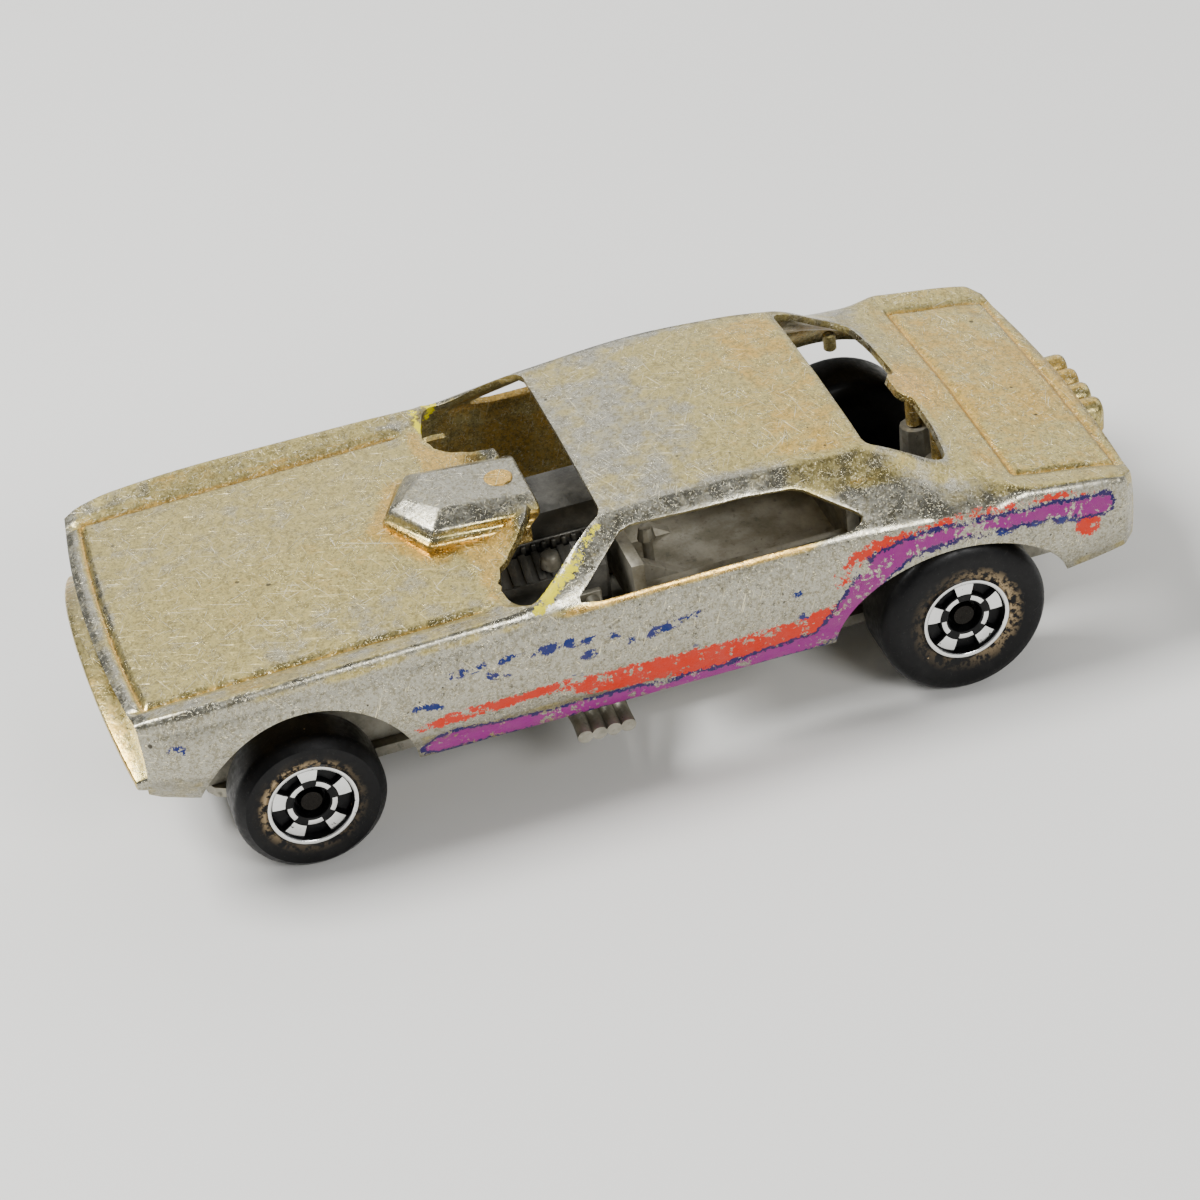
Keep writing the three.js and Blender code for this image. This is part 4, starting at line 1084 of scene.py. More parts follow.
def opening_distance(x: np.ndarray, y: np.ndarray, z: np.ndarray) -> np.ndarray:
    """Measures points from the nearest opening.

    Args:
        x: the points' places across the car.
        y: places along it.
        z: heights.

    Returns:
        The signed distance in millimetres: above 0 is metal.
    """
    top = z > 14.2
    away = np.full(x.shape, FAR_AWAY)

    def open_up(d: np.ndarray, where: np.ndarray) -> None:
        """Takes one opening into account, where it can be met."""
        away[:] = np.where(where, np.minimum(away, d), away)

    # Casting flash leaves the windshield's front edge a little wavy.
    flash = 0.07 * (np.sin(4.3 * x) + np.sin(7.9 * x + 1.3)) * (y < -5) * (np.abs(x) < 11)
    open_up(WINDSHIELD.distance(x, y) + flash, top & (y < 3))
    open_up(OVER_SCOOP.distance(x, y), top & (y < 0))
    open_up(REAR_WINDOW.distance(x, y), top & (y > 12))
    open_up(SIDE_WINDOW.distance(y, z), (np.abs(x) > 8) & (z > 14.5))
    for middle, height, across, up in ARCHES:
        reach = np.hypot((y - middle) / across, (z - height) / up)
        open_up((reach - 1) * min(across, up), (np.abs(x) > 8) & (np.abs(y - middle) < 14))
    return away


def groove(distance: np.ndarray, half_width: float) -> np.ndarray:
    """Returns 1 in the middle of a groove, falling smoothly to 0 outside it."""
    return np.exp(-((distance / half_width) ** 2))


def polyline_distance(a: np.ndarray, b: np.ndarray, line: Sequence[tuple[float, ...]]) -> tuple:
    """Measures points from an open line whose points may carry a width.

    Args:
        a: first coordinates of the points.
        b: second coordinates.
        line: the line's points as (a, b) or (a, b, width).

    Returns:
        The distance from the line, and the line's width at the nearest place.
    """
    near, wide = np.full(a.shape, 1e9), np.zeros(a.shape)
    for p, q in zip(line[:-1], line[1:]):
        run = (q[0] - p[0], q[1] - p[1])
        t = np.clip(((a - p[0]) * run[0] + (b - p[1]) * run[1]) / (run[0] ** 2 + run[1] ** 2), 0, 1)
        d = np.hypot(a - p[0] - t * run[0], b - p[1] - t * run[1])
        if len(p) > 2:
            wide = np.where(d < near, p[2] + t * (q[2] - p[2]), wide)
        near = np.minimum(near, d)
    return near, wide


@dataclass
class StripePrint:
    """The stripes printed on each side, as lines of (y, z, width) in millimetres."""

    orange: Path = (
        (-17.6, 10.3, 0.3), (-15.5, 10.45, 0.9), (-13.6, 10.54, 1.1), (-9.9, 10.57, 0.8),
        (-7.3, 10.54, 0.9), (-5.6, 10.1, 1.5), (-4.0, 9.76, 2.0), (-0.6, 9.46, 2.2), (2.4, 9.19, 2.5),
        (5.1, 9.09, 2.5), (8.8, 9.3, 2.4), (10.4, 9.3, 2.4), (12.1, 10.06, 1.9), (12.9, 10.67, 0.9),
    )
    magenta: Path = (
        (-16.9, 8.0, 0.5), (-16.3, 8.04, 1.3), (-15.0, 8.26, 1.7), (-11.9, 7.96, 1.3),
        (-8.2, 7.65, 1.1), (-5.3, 7.76, 1.0), (-2.5, 7.6, 1.0), (0.3, 7.39, 0.9), (4.1, 7.4, 0.9),
        (8.7, 7.75, 1.1), (11.6, 7.95, 1.4), (12.6, 8.75, 1.8), (13.7, 10.06, 1.9), (14.6, 11.34, 1.9),
        (15.5, 12.5, 1.9), (16.4, 13.43, 1.8), (17.9, 14.06, 1.3), (19.6, 14.36, 1.0),
        (21.7, 14.4, 0.85), (24.1, 14.3, 0.8), (26.2, 14.2, 0.8), (28.9, 14.0, 0.95), (31.2, 13.6, 1.2),
        (32.8, 13.42, 1.3),
    )
    orange_rear: Path = (
        (13.0, 12.4, 0.4), (13.4, 13.01, 1.3), (14.8, 14.06, 1.7), (16.2, 14.69, 1.4),
        (18.7, 15.03, 0.85), (21.1, 15.2, 0.77), (23.4, 15.23, 0.65), (25.7, 15.2, 0.55),
        (27.8, 15.07, 0.5), (29.9, 14.97, 0.4), (32.3, 14.35, 0.3),
    )
    flecks: Sequence[Path] = (
        ((-14.4, 14.0, 0.8), (-11.0, 14.1, 0.5), (-7.2, 14.0, 0.9), (-2.8, 13.6, 0.5)),
        ((-1.8, 12.8, 0.7), (0.6, 13.1, 0.9), (3.3, 13.4, 0.5)),
        ((-17.2, 12.15, 0.7), (-15.6, 11.9, 0.6)), ((-12.3, 13.2, 0.8), (-10.7, 13.0, 0.6)),
        ((-5.6, 12.5, 0.7), (-4.4, 12.7, 0.7)), ((9.8, 12.8, 0.6), (10.2, 12.8, 0.6)),
        ((10.2, 10.8, 0.6), (10.6, 10.5, 0.6)), ((2.6, 10.7, 0.6), (3.0, 10.6, 0.6)),
        ((-6.1, 11.1, 0.6), (-5.7, 11.0, 0.6)), ((-33.9, 13.8, 0.9), (-33.4, 13.8, 0.9)),
        ((24.0, 13.5, 0.5), (28.0, 13.35, 0.5), (31.0, 12.8, 0.6)),
    )
    blob: tuple[float, float, float] = (31.6, 12.06, 0.95)

    def store(self, piece: bpy.types.Object, y: np.ndarray, z: np.ndarray, on_side: np.ndarray) -> None:
        """Stores each ink's signed distance on a piece, below 0 under the ink.

        Args:
            piece: the piece that carries the print.
            y: its points' places along the car.
            z: their heights.
            on_side: whether each point lies on a printed side.
        """

        def signed(line: Path) -> np.ndarray:
            """Returns the distance from a band's edge."""
            near, wide = polyline_distance(y, z, line)
            return np.where(on_side, near - wide / 2, FAR_AWAY)

        flecks = np.min([signed(line) for line in self.flecks], axis=0)
        spot = np.hypot(y - self.blob[0], z - self.blob[1]) - self.blob[2]
        dot = np.where(on_side, spot, FAR_AWAY)
        set_attribute(piece, "ink_orange", np.minimum(signed(self.orange), dot))
        set_attribute(piece, "ink_magenta", signed(self.magenta))
        set_attribute(piece, "ink_orange_rear", signed(self.orange_rear))
        set_attribute(piece, "ink_fleck", flecks)


# ---- Body shell ----


@dataclass
class BodyShell:
    """The thin cast body that tilts up, with its openings, grooves, scoop, lip and chute pack."""

    wall_mm: float = 1.1
    row_mm: float = 0.36
    counts: tuple[int, ...] = (22, 7, 14, 30)
    groove_mm: float = 0.26
    groove_depth_mm: float = 0.26
    ridge_mm: float = 0.16
    crease_mm: float = 0.12
    rim_mm: float = 0.13
    pin_y: float = 33.3
    pin_z: float = 9.4
    ear_x: float = 7.6
    ear_radius: float = 1.5
    ear_width: float = 1.2
    ear_top: float = 14.0
    bore_radius: float = 0.8
    lip_half: float = 13.6
    chute_ribs: int = 4
    chute_pitch: float = 2.2
    chute_radius: float = 1.025
    chute_z: float = 13.025
    print_on: StripePrint = field(default_factory=StripePrint)
    finish: WornPlating = field(default_factory=WornPlating)

    def build(self) -> bpy.types.Object:
        """Makes the whole shell as one piece and dresses it.

        Returns:
            The shell, which replaces the CAD body.
        """
        skin = self.skin()
        for extra in (self.scoop(), self.lip(), self.posts(), self.chutes()):
            join_into(skin, extra)
        shade(skin, 38)
        self.store_masks(skin)
        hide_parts("body_shell")
        finish_piece(skin, Body.SHELL.value, self.finish.build())
        return skin

    def rows(self) -> np.ndarray:
        """Chooses the places of the sections, closer together at the cross grooves.

        Returns:
            The places along y, from nose to tail.
        """
        base = np.linspace(NOSE, TAIL, int((TAIL - NOSE) / self.row_mm))
        dense = [np.arange(c - 0.6, c + 0.6, 0.12) for c in CROSS_LINES]
        every = np.unique(np.round(np.concatenate([base, *dense, [s.y for s in STATIONS]]), 3))
        keep = np.concatenate([[True], np.diff(every) > 0.05])
        keep[-1] = True
        return every[keep]

    def dents(self, p: np.ndarray) -> np.ndarray:
        """Works out panel grooves and raised ridges.

        Args:
            p: points of the outer face in millimetres.

        Returns:
            The depth of grooves minus the height of ridges, at each point.
        """
        x, y, z = np.abs(p[..., 0]), p[..., 1], p[..., 2]
        top = z > 13.9
        hood = top * (y > -36.0) / (1 + np.exp((y - HOOD_LINE_REAR) / 0.2))
        hood_line = groove(x - HOOD_LINE_X, self.groove_mm) * hood
        lid = groove(TRUNK_LID.distance(p[..., 0], y), self.groove_mm) * top * (y > 25)
        patch = np.maximum(np.abs(x - 11.4) - 0.9, np.abs(y - 33.9) - 0.45)
        filled = 1 / (1 + np.exp(patch / 0.08)) * top * 0.5
        cross = groove(y - (NOSE_LINE_Y + 0.55 * (x / 12.0) ** 2), self.groove_mm) * (x < 12.4) * top
        ridge = groove(polyline_distance(x, y, COWL_RIDGE)[0], 0.35) * top
        crease = groove(x, 0.5) * top * (y < -15.3) * 0.25
        rear_edge = groove(y - (ROOF_REAR - 0.5), 0.45) * (z > 18.5) * (x < 10.4)
        base_line = groove(z - SILL_LINE_Z, 0.3) * (y > -17.4) * (y < 12.6) * (x > 12) * 0.5
        sunk = self.groove_depth_mm * np.maximum.reduce([hood_line, lid, filled, cross, base_line])
        return sunk - (self.ridge_mm * ridge + self.crease_mm * crease + self.ridge_mm * rear_edge)

    def outer(self, y: np.ndarray) -> np.ndarray:
        """Draws the outer face.

        Args:
            y: places of the sections.

        Returns:
            Rows of points, each right across the car.
        """
        half = half_sections(y, 0.0, self.counts)
        x = np.concatenate([-half[:, :0:-1, 0], half[:, :, 0]], axis=1)
        z = np.concatenate([half[:, :0:-1, 1], half[:, :, 1]], axis=1)
        along = np.repeat(y[:, None], x.shape[1], axis=1)
        return np.stack([x, along + bow(x, along), z], axis=-1)

    def normals(self, grid: np.ndarray) -> np.ndarray:
        """Works out which way each point of a grid faces.

        Args:
            grid: rows of points.

        Returns:
            Unit normals that face out of the car.
        """
        n = np.cross(np.gradient(grid, axis=0), np.gradient(grid, axis=1))
        n /= np.linalg.norm(n, axis=-1, keepdims=True) + 1e-9
        flip = np.sign(np.sum(n * (grid - [0, 0, 6.0]) * [1, 0, 1], axis=-1, keepdims=True))
        return n * np.where(flip == 0, 1, flip)

    def skin(self) -> bpy.types.Object:
        """Makes the thin cast skin: outer and inner faces joined round every opening.

        Returns:
            A closed mesh without the parts that stand on it.
        """
        y = self.rows()
        grid = self.outer(y)
        normal = self.normals(grid)
        # Move grid points onto the outlines so that the openings get clean edges.
        away = opening_distance(*np.moveaxis(grid, -1, 0))
        grid, away = self.snap(grid, away)
        moved = grid - normal * self.dents(grid)[..., None]
        # The casting thins towards its openings.
        edge = np.clip(away / 2.4, 0, 1)
        inner = grid - normal * (self.wall_mm * (0.45 + 0.55 * edge * edge * (3 - 2 * edge)))[..., None]
        inner[..., 1] = np.clip(inner[..., 1], NOSE + self.wall_mm, TAIL - self.wall_mm)
        shape = grid.shape[:2]
        count = shape[0] * shape[1]
        number = np.arange(count).reshape(shape)
        faces: Faces = []
        sides = np.sign(np.where(np.abs(away) < 1e-6, 0, away))
        for i in range(shape[0] - 1):
            for j in range(shape[1] - 1):
                loop = [(i, j), (i, j + 1), (i + 1, j + 1), (i + 1, j)]
                marks = [sides[k] for k in loop]
                if min(marks) >= 0 and max(marks) > 0:
                    faces.append(tuple(int(number[k]) for k in loop))
                elif max(marks) > 0:
                    kept = self.corner_kept(loop, marks)
                    if kept:
                        faces.append(tuple(int(number[k]) for k in kept))
        points = np.vstack([moved.reshape(-1, 3), inner.reshape(-1, 3)])
        # An edge that only one face uses is the rim of an opening or of the sill.
        rims: dict[tuple[int, int], bool] = {}
        for face in faces:
            for a, b in zip(face, face[1:] + face[:1]):
                if not rims.pop((b, a), False):
                    rims[(a, b)] = True
        every = faces + [tuple(v + count for v in reversed(face)) for face in faces]
        every += [(b, a, a + count, b + count) for a, b in rims]
        return self.clean(points, every)

    def corner_kept(self, loop: list, marks: list) -> list:
        """Finds the triangle of a cut square that is metal.

        Args:
            loop: the square's four corners, in order.
            marks: 1 for a corner in metal, 0 on an outline, -1 in an opening.

        Returns:
            The triangle's corners, or nothing.
        """
        for k in range(4):
            before, after = (k - 1) % 4, (k + 1) % 4
            if marks[k] > 0 and marks[before] >= 0 and marks[after] >= 0:
                return [loop[before], loop[k], loop[after]]
        return []

    def snap(self, grid: np.ndarray, away: np.ndarray) -> tuple[np.ndarray, np.ndarray]:
        """Moves the nearer end of each grid edge that crosses an outline onto it.

        Args:
            grid: rows of points.
            away: each point's signed distance from the nearest opening.

        Returns:
            The moved points and their distances, 0 where moved.
        """
        best = np.full(away.shape, 0.5001)
        target = grid.copy()
        for axis, step in ((0, 1), (0, -1), (1, 1), (1, -1)):
            other = np.roll(grid, -step, axis=axis)
            far = np.roll(away, -step, axis=axis)
            edge = np.zeros(away.shape, bool)
            index = [slice(None), slice(None)]
            index[axis] = slice(0, -1) if step == 1 else slice(1, None)
            edge[tuple(index)] = True
            crossed = edge & (away * far < 0)
            share = np.where(crossed, away / np.where(crossed, away - far, 1), 1.0)
            better = crossed & (share <= best)
            best = np.where(better, share, best)
            target = np.where(better[..., None], grid + (other - grid) * share[..., None], target)
        moved = best <= 0.5
        return np.where(moved[..., None], target, grid), np.where(moved, 0.0, away)

    def clean(self, points: np.ndarray, faces: Faces) -> bpy.types.Object:
        """Makes the skin's object, with rounded rims and closed at nose and tail.

        Args:
            points: every grid point in millimetres, used or not.
            faces: the skin's faces.

        Returns:
            The closed skin, without the unused points.
        """
        skin = mesh_object("body_shell_visual", points, faces)
        made = bmesh.new()
        made.from_mesh(skin.data)
        bmesh.ops.delete(made, geom=[v for v in made.verts if not v.link_faces], context="VERTS")
        made.to_mesh(skin.data)
        made.free()
        rim = skin.modifiers.new("rim", "BEVEL")
        rim.width, rim.segments, rim.limit_method = self.rim_mm * MM, 2, "ANGLE"
        rim.angle_limit = math.radians(55)
        bake_modifiers(skin)
        mend(skin)
        self.close_ends(skin)
        return skin

    def close_ends(self, skin: bpy.types.Object) -> None:
        """Adds the nose and tail walls as thin closed plates behind the skin's end rows.

        Args:
            skin: the skin that gets them.
        """
        for y, inward in ((NOSE, 1), (TAIL, -1)):
            half = half_sections(np.array([y]), 0.0, self.counts)[0]
            full = np.vstack([half[:0:-1] * [-1, 1], half])
            along = y + bow(full[:, 0], np.full(len(full), y))
            plates = [np.column_stack([full[:, 0], along + shift, full[:, 1]])
                      for shift in (0.0, inward * self.wall_mm)]
            wall = mesh_object("end_wall", *loft(plates))
            mend(wall)
            join_into(skin, wall)

    def scoop(self) -> bpy.types.Object:
        """Makes the hollow intake scoop, open to the rear, with chamfered shoulders.

        Returns:
            The scoop, with the round mark of the mould's pin on top.
        """

        def outline(half: float, front: float, z: float, rear: float, fall: float) -> Path:
            """Returns one ring of the scoop, which falls towards its rear."""
            return [(-half, rear, z - fall), (-half, front + 2.2, z), (0, front, z),
                    (half, front + 2.2, z), (half, rear, z - fall)]

        front, rear = COWL - 6.5, COWL + 4.2
        outer = mesh_object("scoop", *loft([
            outline(4.5, front, 15.4, rear - 1, 0), outline(4.5, front, 17.35, rear - 1, 0.6),
            outline(4.0, front + 0.4, 17.55, rear - 0.3, 0.6), outline(4.0, front + 0.6, 18.15, rear, 0.6),
            outline(2.4, front + 1.8, 18.9, rear - 0.2, 0.6),
        ]))
        mend(outer)
        bevel(outer, 0.22, 3, 18)
        hollow = mesh_object("scoop_hollow", *loft([
            outline(3.1, front + 1.8, 14.0, rear + 2, 0), outline(3.1, front + 2.2, 17.05, rear + 2, 0.6),
            outline(2.0, front + 3.2, 17.8, rear + 2, 0.6),
        ]))
        mend(hollow)
        cut_away(outer, hollow)
        pin_mark = mesh_object("pin_mark", *round_bar(
            (0, PIN_MARK_Y, 18.3), (0, PIN_MARK_Y, 18.56), PIN_MARK_RADIUS, 40, 0.06))
        mend(pin_mark)
        join_into(outer, pin_mark)
        return outer

    def lip(self) -> bpy.types.Object:
        """Makes the thin ledge across the nose, which drops towards its ends.

        Returns:
            The ledge, let into the nose wall.
        """
        rings = []
        for x in np.linspace(-self.lip_half, self.lip_half, 61):
            share = x / self.lip_half
            top = 14.1 - 2.9 * share**2
            face = NOSE + float(bow(np.array(x), np.array(NOSE)))
            depth = 1 - 0.25 * share**4
            rings.append([(x, face + 0.9, top), (x, face - depth, top - 0.15),
                          (x, face - depth, top - 0.8), (x, face + 0.9, top - 1.3)])
        ledge = mesh_object("lip", *loft(rings))
        mend(ledge)
        bevel(ledge, 0.16, 3, 40)
        return ledge

    def posts(self) -> bpy.types.Object:
        """Makes the posts under the shell and the ears that turn on the hinge pin.

        Returns:
            The posts and ears as one mesh.
        """
        # x, y, low end, high end and radius of each post.
        uprights = [(0, -31.5, 9.0, 15.2, 1.0), (2.6, 25.5, 12.0, 15.9, 0.6), (-2.6, 25.5, 12.0, 15.9, 0.6),
                    (10.9, 22.2, 14.9, 16.3, 0.5), (-10.9, 22.2, 14.9, 16.3, 0.5)]
        bars = [round_bar((x, y, low), (x, y, high), r) for x, y, low, high, r in uprights]
        made = mesh_object("posts", *gathered(bars))
        y, z, r, half = self.pin_y, self.pin_z, self.ear_radius, self.ear_width / 2
        for x in (-self.ear_x, self.ear_x):
            turns = np.linspace(0, math.pi, 17) + math.pi
            side = [(y + r * math.cos(t), z + r * math.sin(t)) for t in turns]
            side += [(y + r, self.ear_top), (y - r, self.ear_top)]
            ear = mesh_object("ear", *loft([[(x + d, a, b) for a, b in side] for d in (-half, half)]))
            mend(ear)
            bevel(ear, 0.12, 2, 50)
            bore = mesh_object("bore", *round_bar((x - 2, y, z), (x + 2, y, z), self.bore_radius, 32))
            mend(bore)
            cut_away(ear, bore)
            join_into(made, ear)
        mend(made)
        return made

    def chutes(self) -> bpy.types.Object:
        """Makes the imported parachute's rounded ribs, repeated by Geometry Nodes.

        Returns:
            The ribs as one mesh.
        """
        z, radius, pitch = self.chute_z, self.chute_radius, self.chute_pitch
        arc = [(radius * math.cos(t), radius * math.sin(t)) for t in np.linspace(0, math.pi, 15)]
        profile = arc + [(-0.875, -1.6), (0.875, -1.6)]
        first = -(self.chute_ribs - 1) / 2 * pitch

        def ring(y: float, share: float) -> Path:
            """Returns the first rib's section at y, drawn in by a share."""
            return [(first + a * share, y, z + b * share) for a, b in profile]

        rings = [ring(35.6, 1.0), ring(37.2, 1.0), ring(37.5, 0.94), ring(37.72, 0.8), ring(37.8, 0.6)]
        rib = mesh_object("rib", *loft(rings))
        mend(rib)
        grow(rib, row_tree(), {"Count": self.chute_ribs, "Step": (pitch * MM, 0.0, 0.0)})
        rib.data.materials.clear()
        return rib

    def store_masks(self, shell: bpy.types.Object) -> None:
        """Stores the masks that say where plating, wear and ink lie.

        Args:
            shell: the whole shell, in metres at the origin.
        """
        count = len(shell.data.vertices)
        p = np.empty(count * 3)
        shell.data.vertices.foreach_get("co", p)
        p = p.reshape(-1, 3) / MM
        n = np.empty(count * 3)
        shell.data.vertex_normals.foreach_get("vector", n)
        n = n.reshape(-1, 3)
        x, y, z = p.T
        ax = np.abs(x)

        def soft(value: np.ndarray, low: float, high: float) -> np.ndarray:
            """Returns a smooth step from 0 at low to 1 at high."""
            t = np.clip((value - low) / (high - low), 0, 1)
            return t * t * (3 - 2 * t)

        outward = n[:, 0] * np.sign(x)
        side = soft(outward, 0.4, 0.85) * soft(-z, -16.3, -15.5) * (ax > 11)
        # What recess holds keeps its gold: grooves, hollows, corners and the sheltered rear panels.
        dent = self.dents(p)
        scoop_gap = np.maximum(ax - 4.5, np.maximum(-15.1 - y + ax * 0.5, y - 1.5))
        near_scoop = 0.72 * groove(np.maximum(scoop_gap, 0), 1.5) * (z > 15) * (z < 17.45) * (y < -2)
        cowl = soft(y, -11.2, -10.0) * (y < -4) * (z > 15.5) * (z < 17.6) * soft(-ax, -13.0, -11.5) * 0.62
        pin_mark = (np.hypot(x, y - PIN_MARK_Y) < PIN_MARK_RADIUS + 0.01) * (z > 18.0)
        near_tab = groove(np.hypot(x * 0.6, y - 24.6), 2.2) * (z > 14)
        sill_bead = groove(z - 16.05, 0.42) * soft(y, -7.5, -5.5) * soft(-y, -13.5, -11) * (ax > 13)
        trunk = soft(y, 24.0, 26.5) * (z > 13.9) * 0.35
        roof_back = soft(y, 7.5, 14.0) * (z > 18.3) * 0.34
        lip_hollow = groove(y - (NOSE - 0.1), 0.6) * (z < 14.4) * 0.6
        inner = np.where((n[:, 2] < -0.3) | (outward < -0.25), 1.0, 0.0)
        recess = np.maximum.reduce([
            np.clip(dent * 3.2, 0, 0.8), near_scoop, cowl, pin_mark, near_tab, sill_bead, trunk, roof_back,
            lip_hollow, inner * 0.45,
        ])
        # The plating material darkens these inner and downward faces as painted shade.
        set_attribute(shell, "inside", inner)
        # What wear holds is rubbed to grey metal: shoulders, edges, rims and the tops that fingers meet.
        shoulder = groove(n[:, 2] - 0.6, 0.32) * (ax > 12.6) * (z > 14.0) * 0.75
        roof_edge = soft(ax, 9.4, 10.6) * (z > 18.6) * 0.6
        roof_front = soft(-y, -9.0, -1.0) * (z > 19.4) * 0.38
        nose_band = soft(-y, 34.6, 35.4) * (z > 14.4) * 0.55
        scoop_top = (ax < 4.3) * soft(z, 17.6, 18.3) * (y < -4) * (y > -15.5) * 0.7 * ~pin_mark
        away = opening_distance(x, y, z)
        rim = soft(-np.abs(away), -0.45, -0.05) * 0.6
        set_attribute(shell, "side", side)
        set_attribute(shell, "recess", recess)
        set_attribute(shell, "wear", np.maximum.reduce([shoulder, roof_edge, roof_front, nose_band,
                                                        scoop_top, rim]))
        self.print_on.store(shell, y, z, (ax > 12.2) & (z < 16.2) & (outward > 0.2))
        near, wide = polyline_distance(y, z, PILLAR_STREAK)
        streak = np.where((x > 9.5) & (n[:, 2] > -0.2), near - wide / 2, FAR_AWAY)
        corner = np.where(x < -11.5, np.hypot(y + 8.6, z - 16.9) - 1.0, FAR_AWAY)
        set_attribute(shell, "ink_lacquer", np.minimum(streak, corner))


def cut_away(piece: bpy.types.Object, tool: bpy.types.Object) -> None:
    """Cuts a closed tool out of a closed piece and removes the tool.

    Args:
        piece: the piece that is cut.
        tool: the shape to cut out.
    """
    cutter = piece.modifiers.new("cut", "BOOLEAN")
    cutter.object, cutter.operation, cutter.solver = tool, "DIFFERENCE", "EXACT"
    bake_modifiers(piece)
    bpy.data.objects.remove(tool)


# ---- Wheels ----


@dataclass
class Wheel:
    """A moulded wheel with five windows, and the chrome foil stamped on its face."""

    node: str
    radius: float
    width: float
    side: Side
    dust_from_deg: float
    rim: float = 3.25
    windows: int = 5
    shift: float = 0.33
    turns: int = 160
    foil_mm: float = 0.03
    window_in: float = 1.86
    window_out: float = 2.83
    window_depth: float = 0.42
    dust_ring: float = 3.48

    @cached_property
    def place(self) -> tuple[float, float, float]:
        """Returns the outer face's x and the axle's y and z in millimetres."""
        low, high = box_mm(self.node)
        outer = high[0] if self.side is Side.LEFT else low[0]
        return float(outer), float(low[1] + high[1]) / 2, float(low[2] + high[2]) / 2

    def point(self, r: float, depth: float, angle: float) -> tuple[float, float, float]:
        """Returns the place at a radius, a depth behind the outer face, and an angle."""
        x, y, z = self.place
        return (x - self.side.value * depth, y + r * math.cos(angle), z + r * math.sin(angle))

    def window(self, angle: float) -> float:
        """Returns 1 over a window, 0 over a panel, with soft sides."""
        phase = (angle * self.windows / (2 * math.pi) + 0.1 - self.shift) % 1.0
        return float(np.clip((0.27 - abs(phase - 0.5)) / 0.03, 0, 1))

    def build(self, plastic: bpy.types.Material, foil: bpy.types.Material) -> list[bpy.types.Object]:
        """Makes the wheel and its foil, and dresses both.

        Args:
            plastic: the moulding's material.
            foil: the foil's material.

        Returns:
            The moulding and the foil, which ride on the body named like the node.
        """
        wheel = self.moulding()
        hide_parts(self.node)
        finish_piece(wheel, self.node, plastic)
        stamped = self.foil()
        finish_piece(stamped, self.node, foil)
        return [wheel, stamped]

    def moulding(self) -> bpy.types.Object:
        """Makes the turned wheel with its recessed windows.

        Returns:
            The wheel, with the mask of the dust caught round its rim.
        """
        big, w = self.radius, self.width
        wall = self.rim + (big - self.rim) * 0.55
        # Radius and depth behind the outer face, from the hub out over the tread and back inside.
        face = [(0.7, 1.5), (1.12, 1.5), (1.2, 1.42), (1.25, 0.6), (1.3, 0.5), (1.38, 0.46), (1.79, 0.45)]
        zone = [(r, 0.47) for r in np.linspace(1.84, 2.8, 9)]
        rest = [
            (2.86, 0.46), (2.9, 0.24), (2.95, 0.17), (3.2, 0.15), (3.27, 0.2), (3.33, 0.25), (3.42, 0.2),
            (wall - 0.5, 0.04), (wall, 0.0), (wall + 0.3, 0.03), (big - 0.5, 0.2), (big - 0.3, 0.4),
            (big - 0.1, 0.65), (big - 0.02, 0.85), (big, 1.05), (big, w - 0.8), (big - 0.04, w - 0.6),
            (big - 0.15, w - 0.4), (big - 0.4, w - 0.2), (wall, w - 0.01), (self.rim, w - 0.15),
            (self.rim - 0.8, w - 0.6), (0.7, w - 0.6),
        ]
        profile = face + zone + rest
        rings = []
        for i in range(self.turns):
            angle = 2 * math.pi * i / self.turns
            sunk = self.window_depth * self.window(angle)
            rings.append([self.point(r, d + sunk * self.in_zone(r, d), angle) for r, d in profile])
        points = np.array(rings).reshape(-1, 3)
        count = len(profile)
        faces: Faces = []
        for i in range(self.turns):
            for j in range(count):
                a, b = i * count + j, i * count + (j + 1) % count
                nxt = ((i + 1) % self.turns - i) * count
                faces.append((a, b, b + nxt, a + nxt))
        wheel = mesh_object(self.node + "_moulding", points, faces, 35)
        mend(wheel)
        across, forward, upward = (points - self.place).T
        radii = np.hypot(forward, upward)
        angles = np.arctan2(upward, forward)
        away = np.abs((angles - math.radians(self.dust_from_deg) + math.pi) % (2 * math.pi) - math.pi)
        front = np.abs(across) < 1.6
        ring = groove(radii - self.dust_ring, 0.24) * np.clip(1.3 - away / 1.6, 0.15, 1) * front
        set_attribute(wheel, "dust", ring)
        return wheel

    def in_zone(self, r: float, depth: float) -> float:
        """Returns 1 for profile points that the windows sink."""
        return 1.0 if self.window_in < r < self.window_out and depth < 1 else 0.0

    def foil(self) -> bpy.types.Object:
        """Makes the foil: an outer ring, five panels and five arcs of an inner ring.

        Returns:
            The foil as one mesh of thin closed patches.
        """
        step = 2 * math.pi / self.windows
        ring = [(2.91, 0.22), (2.96, 0.165), (3.08, 0.15), (3.19, 0.15)]
        panel = [(1.9, 0.47), (2.3, 0.43), (2.8, 0.47)]
        arc = [(1.42, 0.455), (1.6, 0.43), (1.76, 0.45)]
        parts = [self.foil_patch(ring, 0.0, 2 * math.pi, self.turns)]
        for k in range(self.windows):
            middle = step * (k + 0.9 + self.shift)
            parts.append(self.foil_patch(panel, middle - 0.21 * step, middle + 0.21 * step, 14))
            parts.append(self.foil_patch(arc, middle + 0.24 * step, middle + 0.76 * step, 14))
        made = mesh_object(self.node + "_foil", *gathered(parts), 50)
        mend(made, 0.0005)
        return made

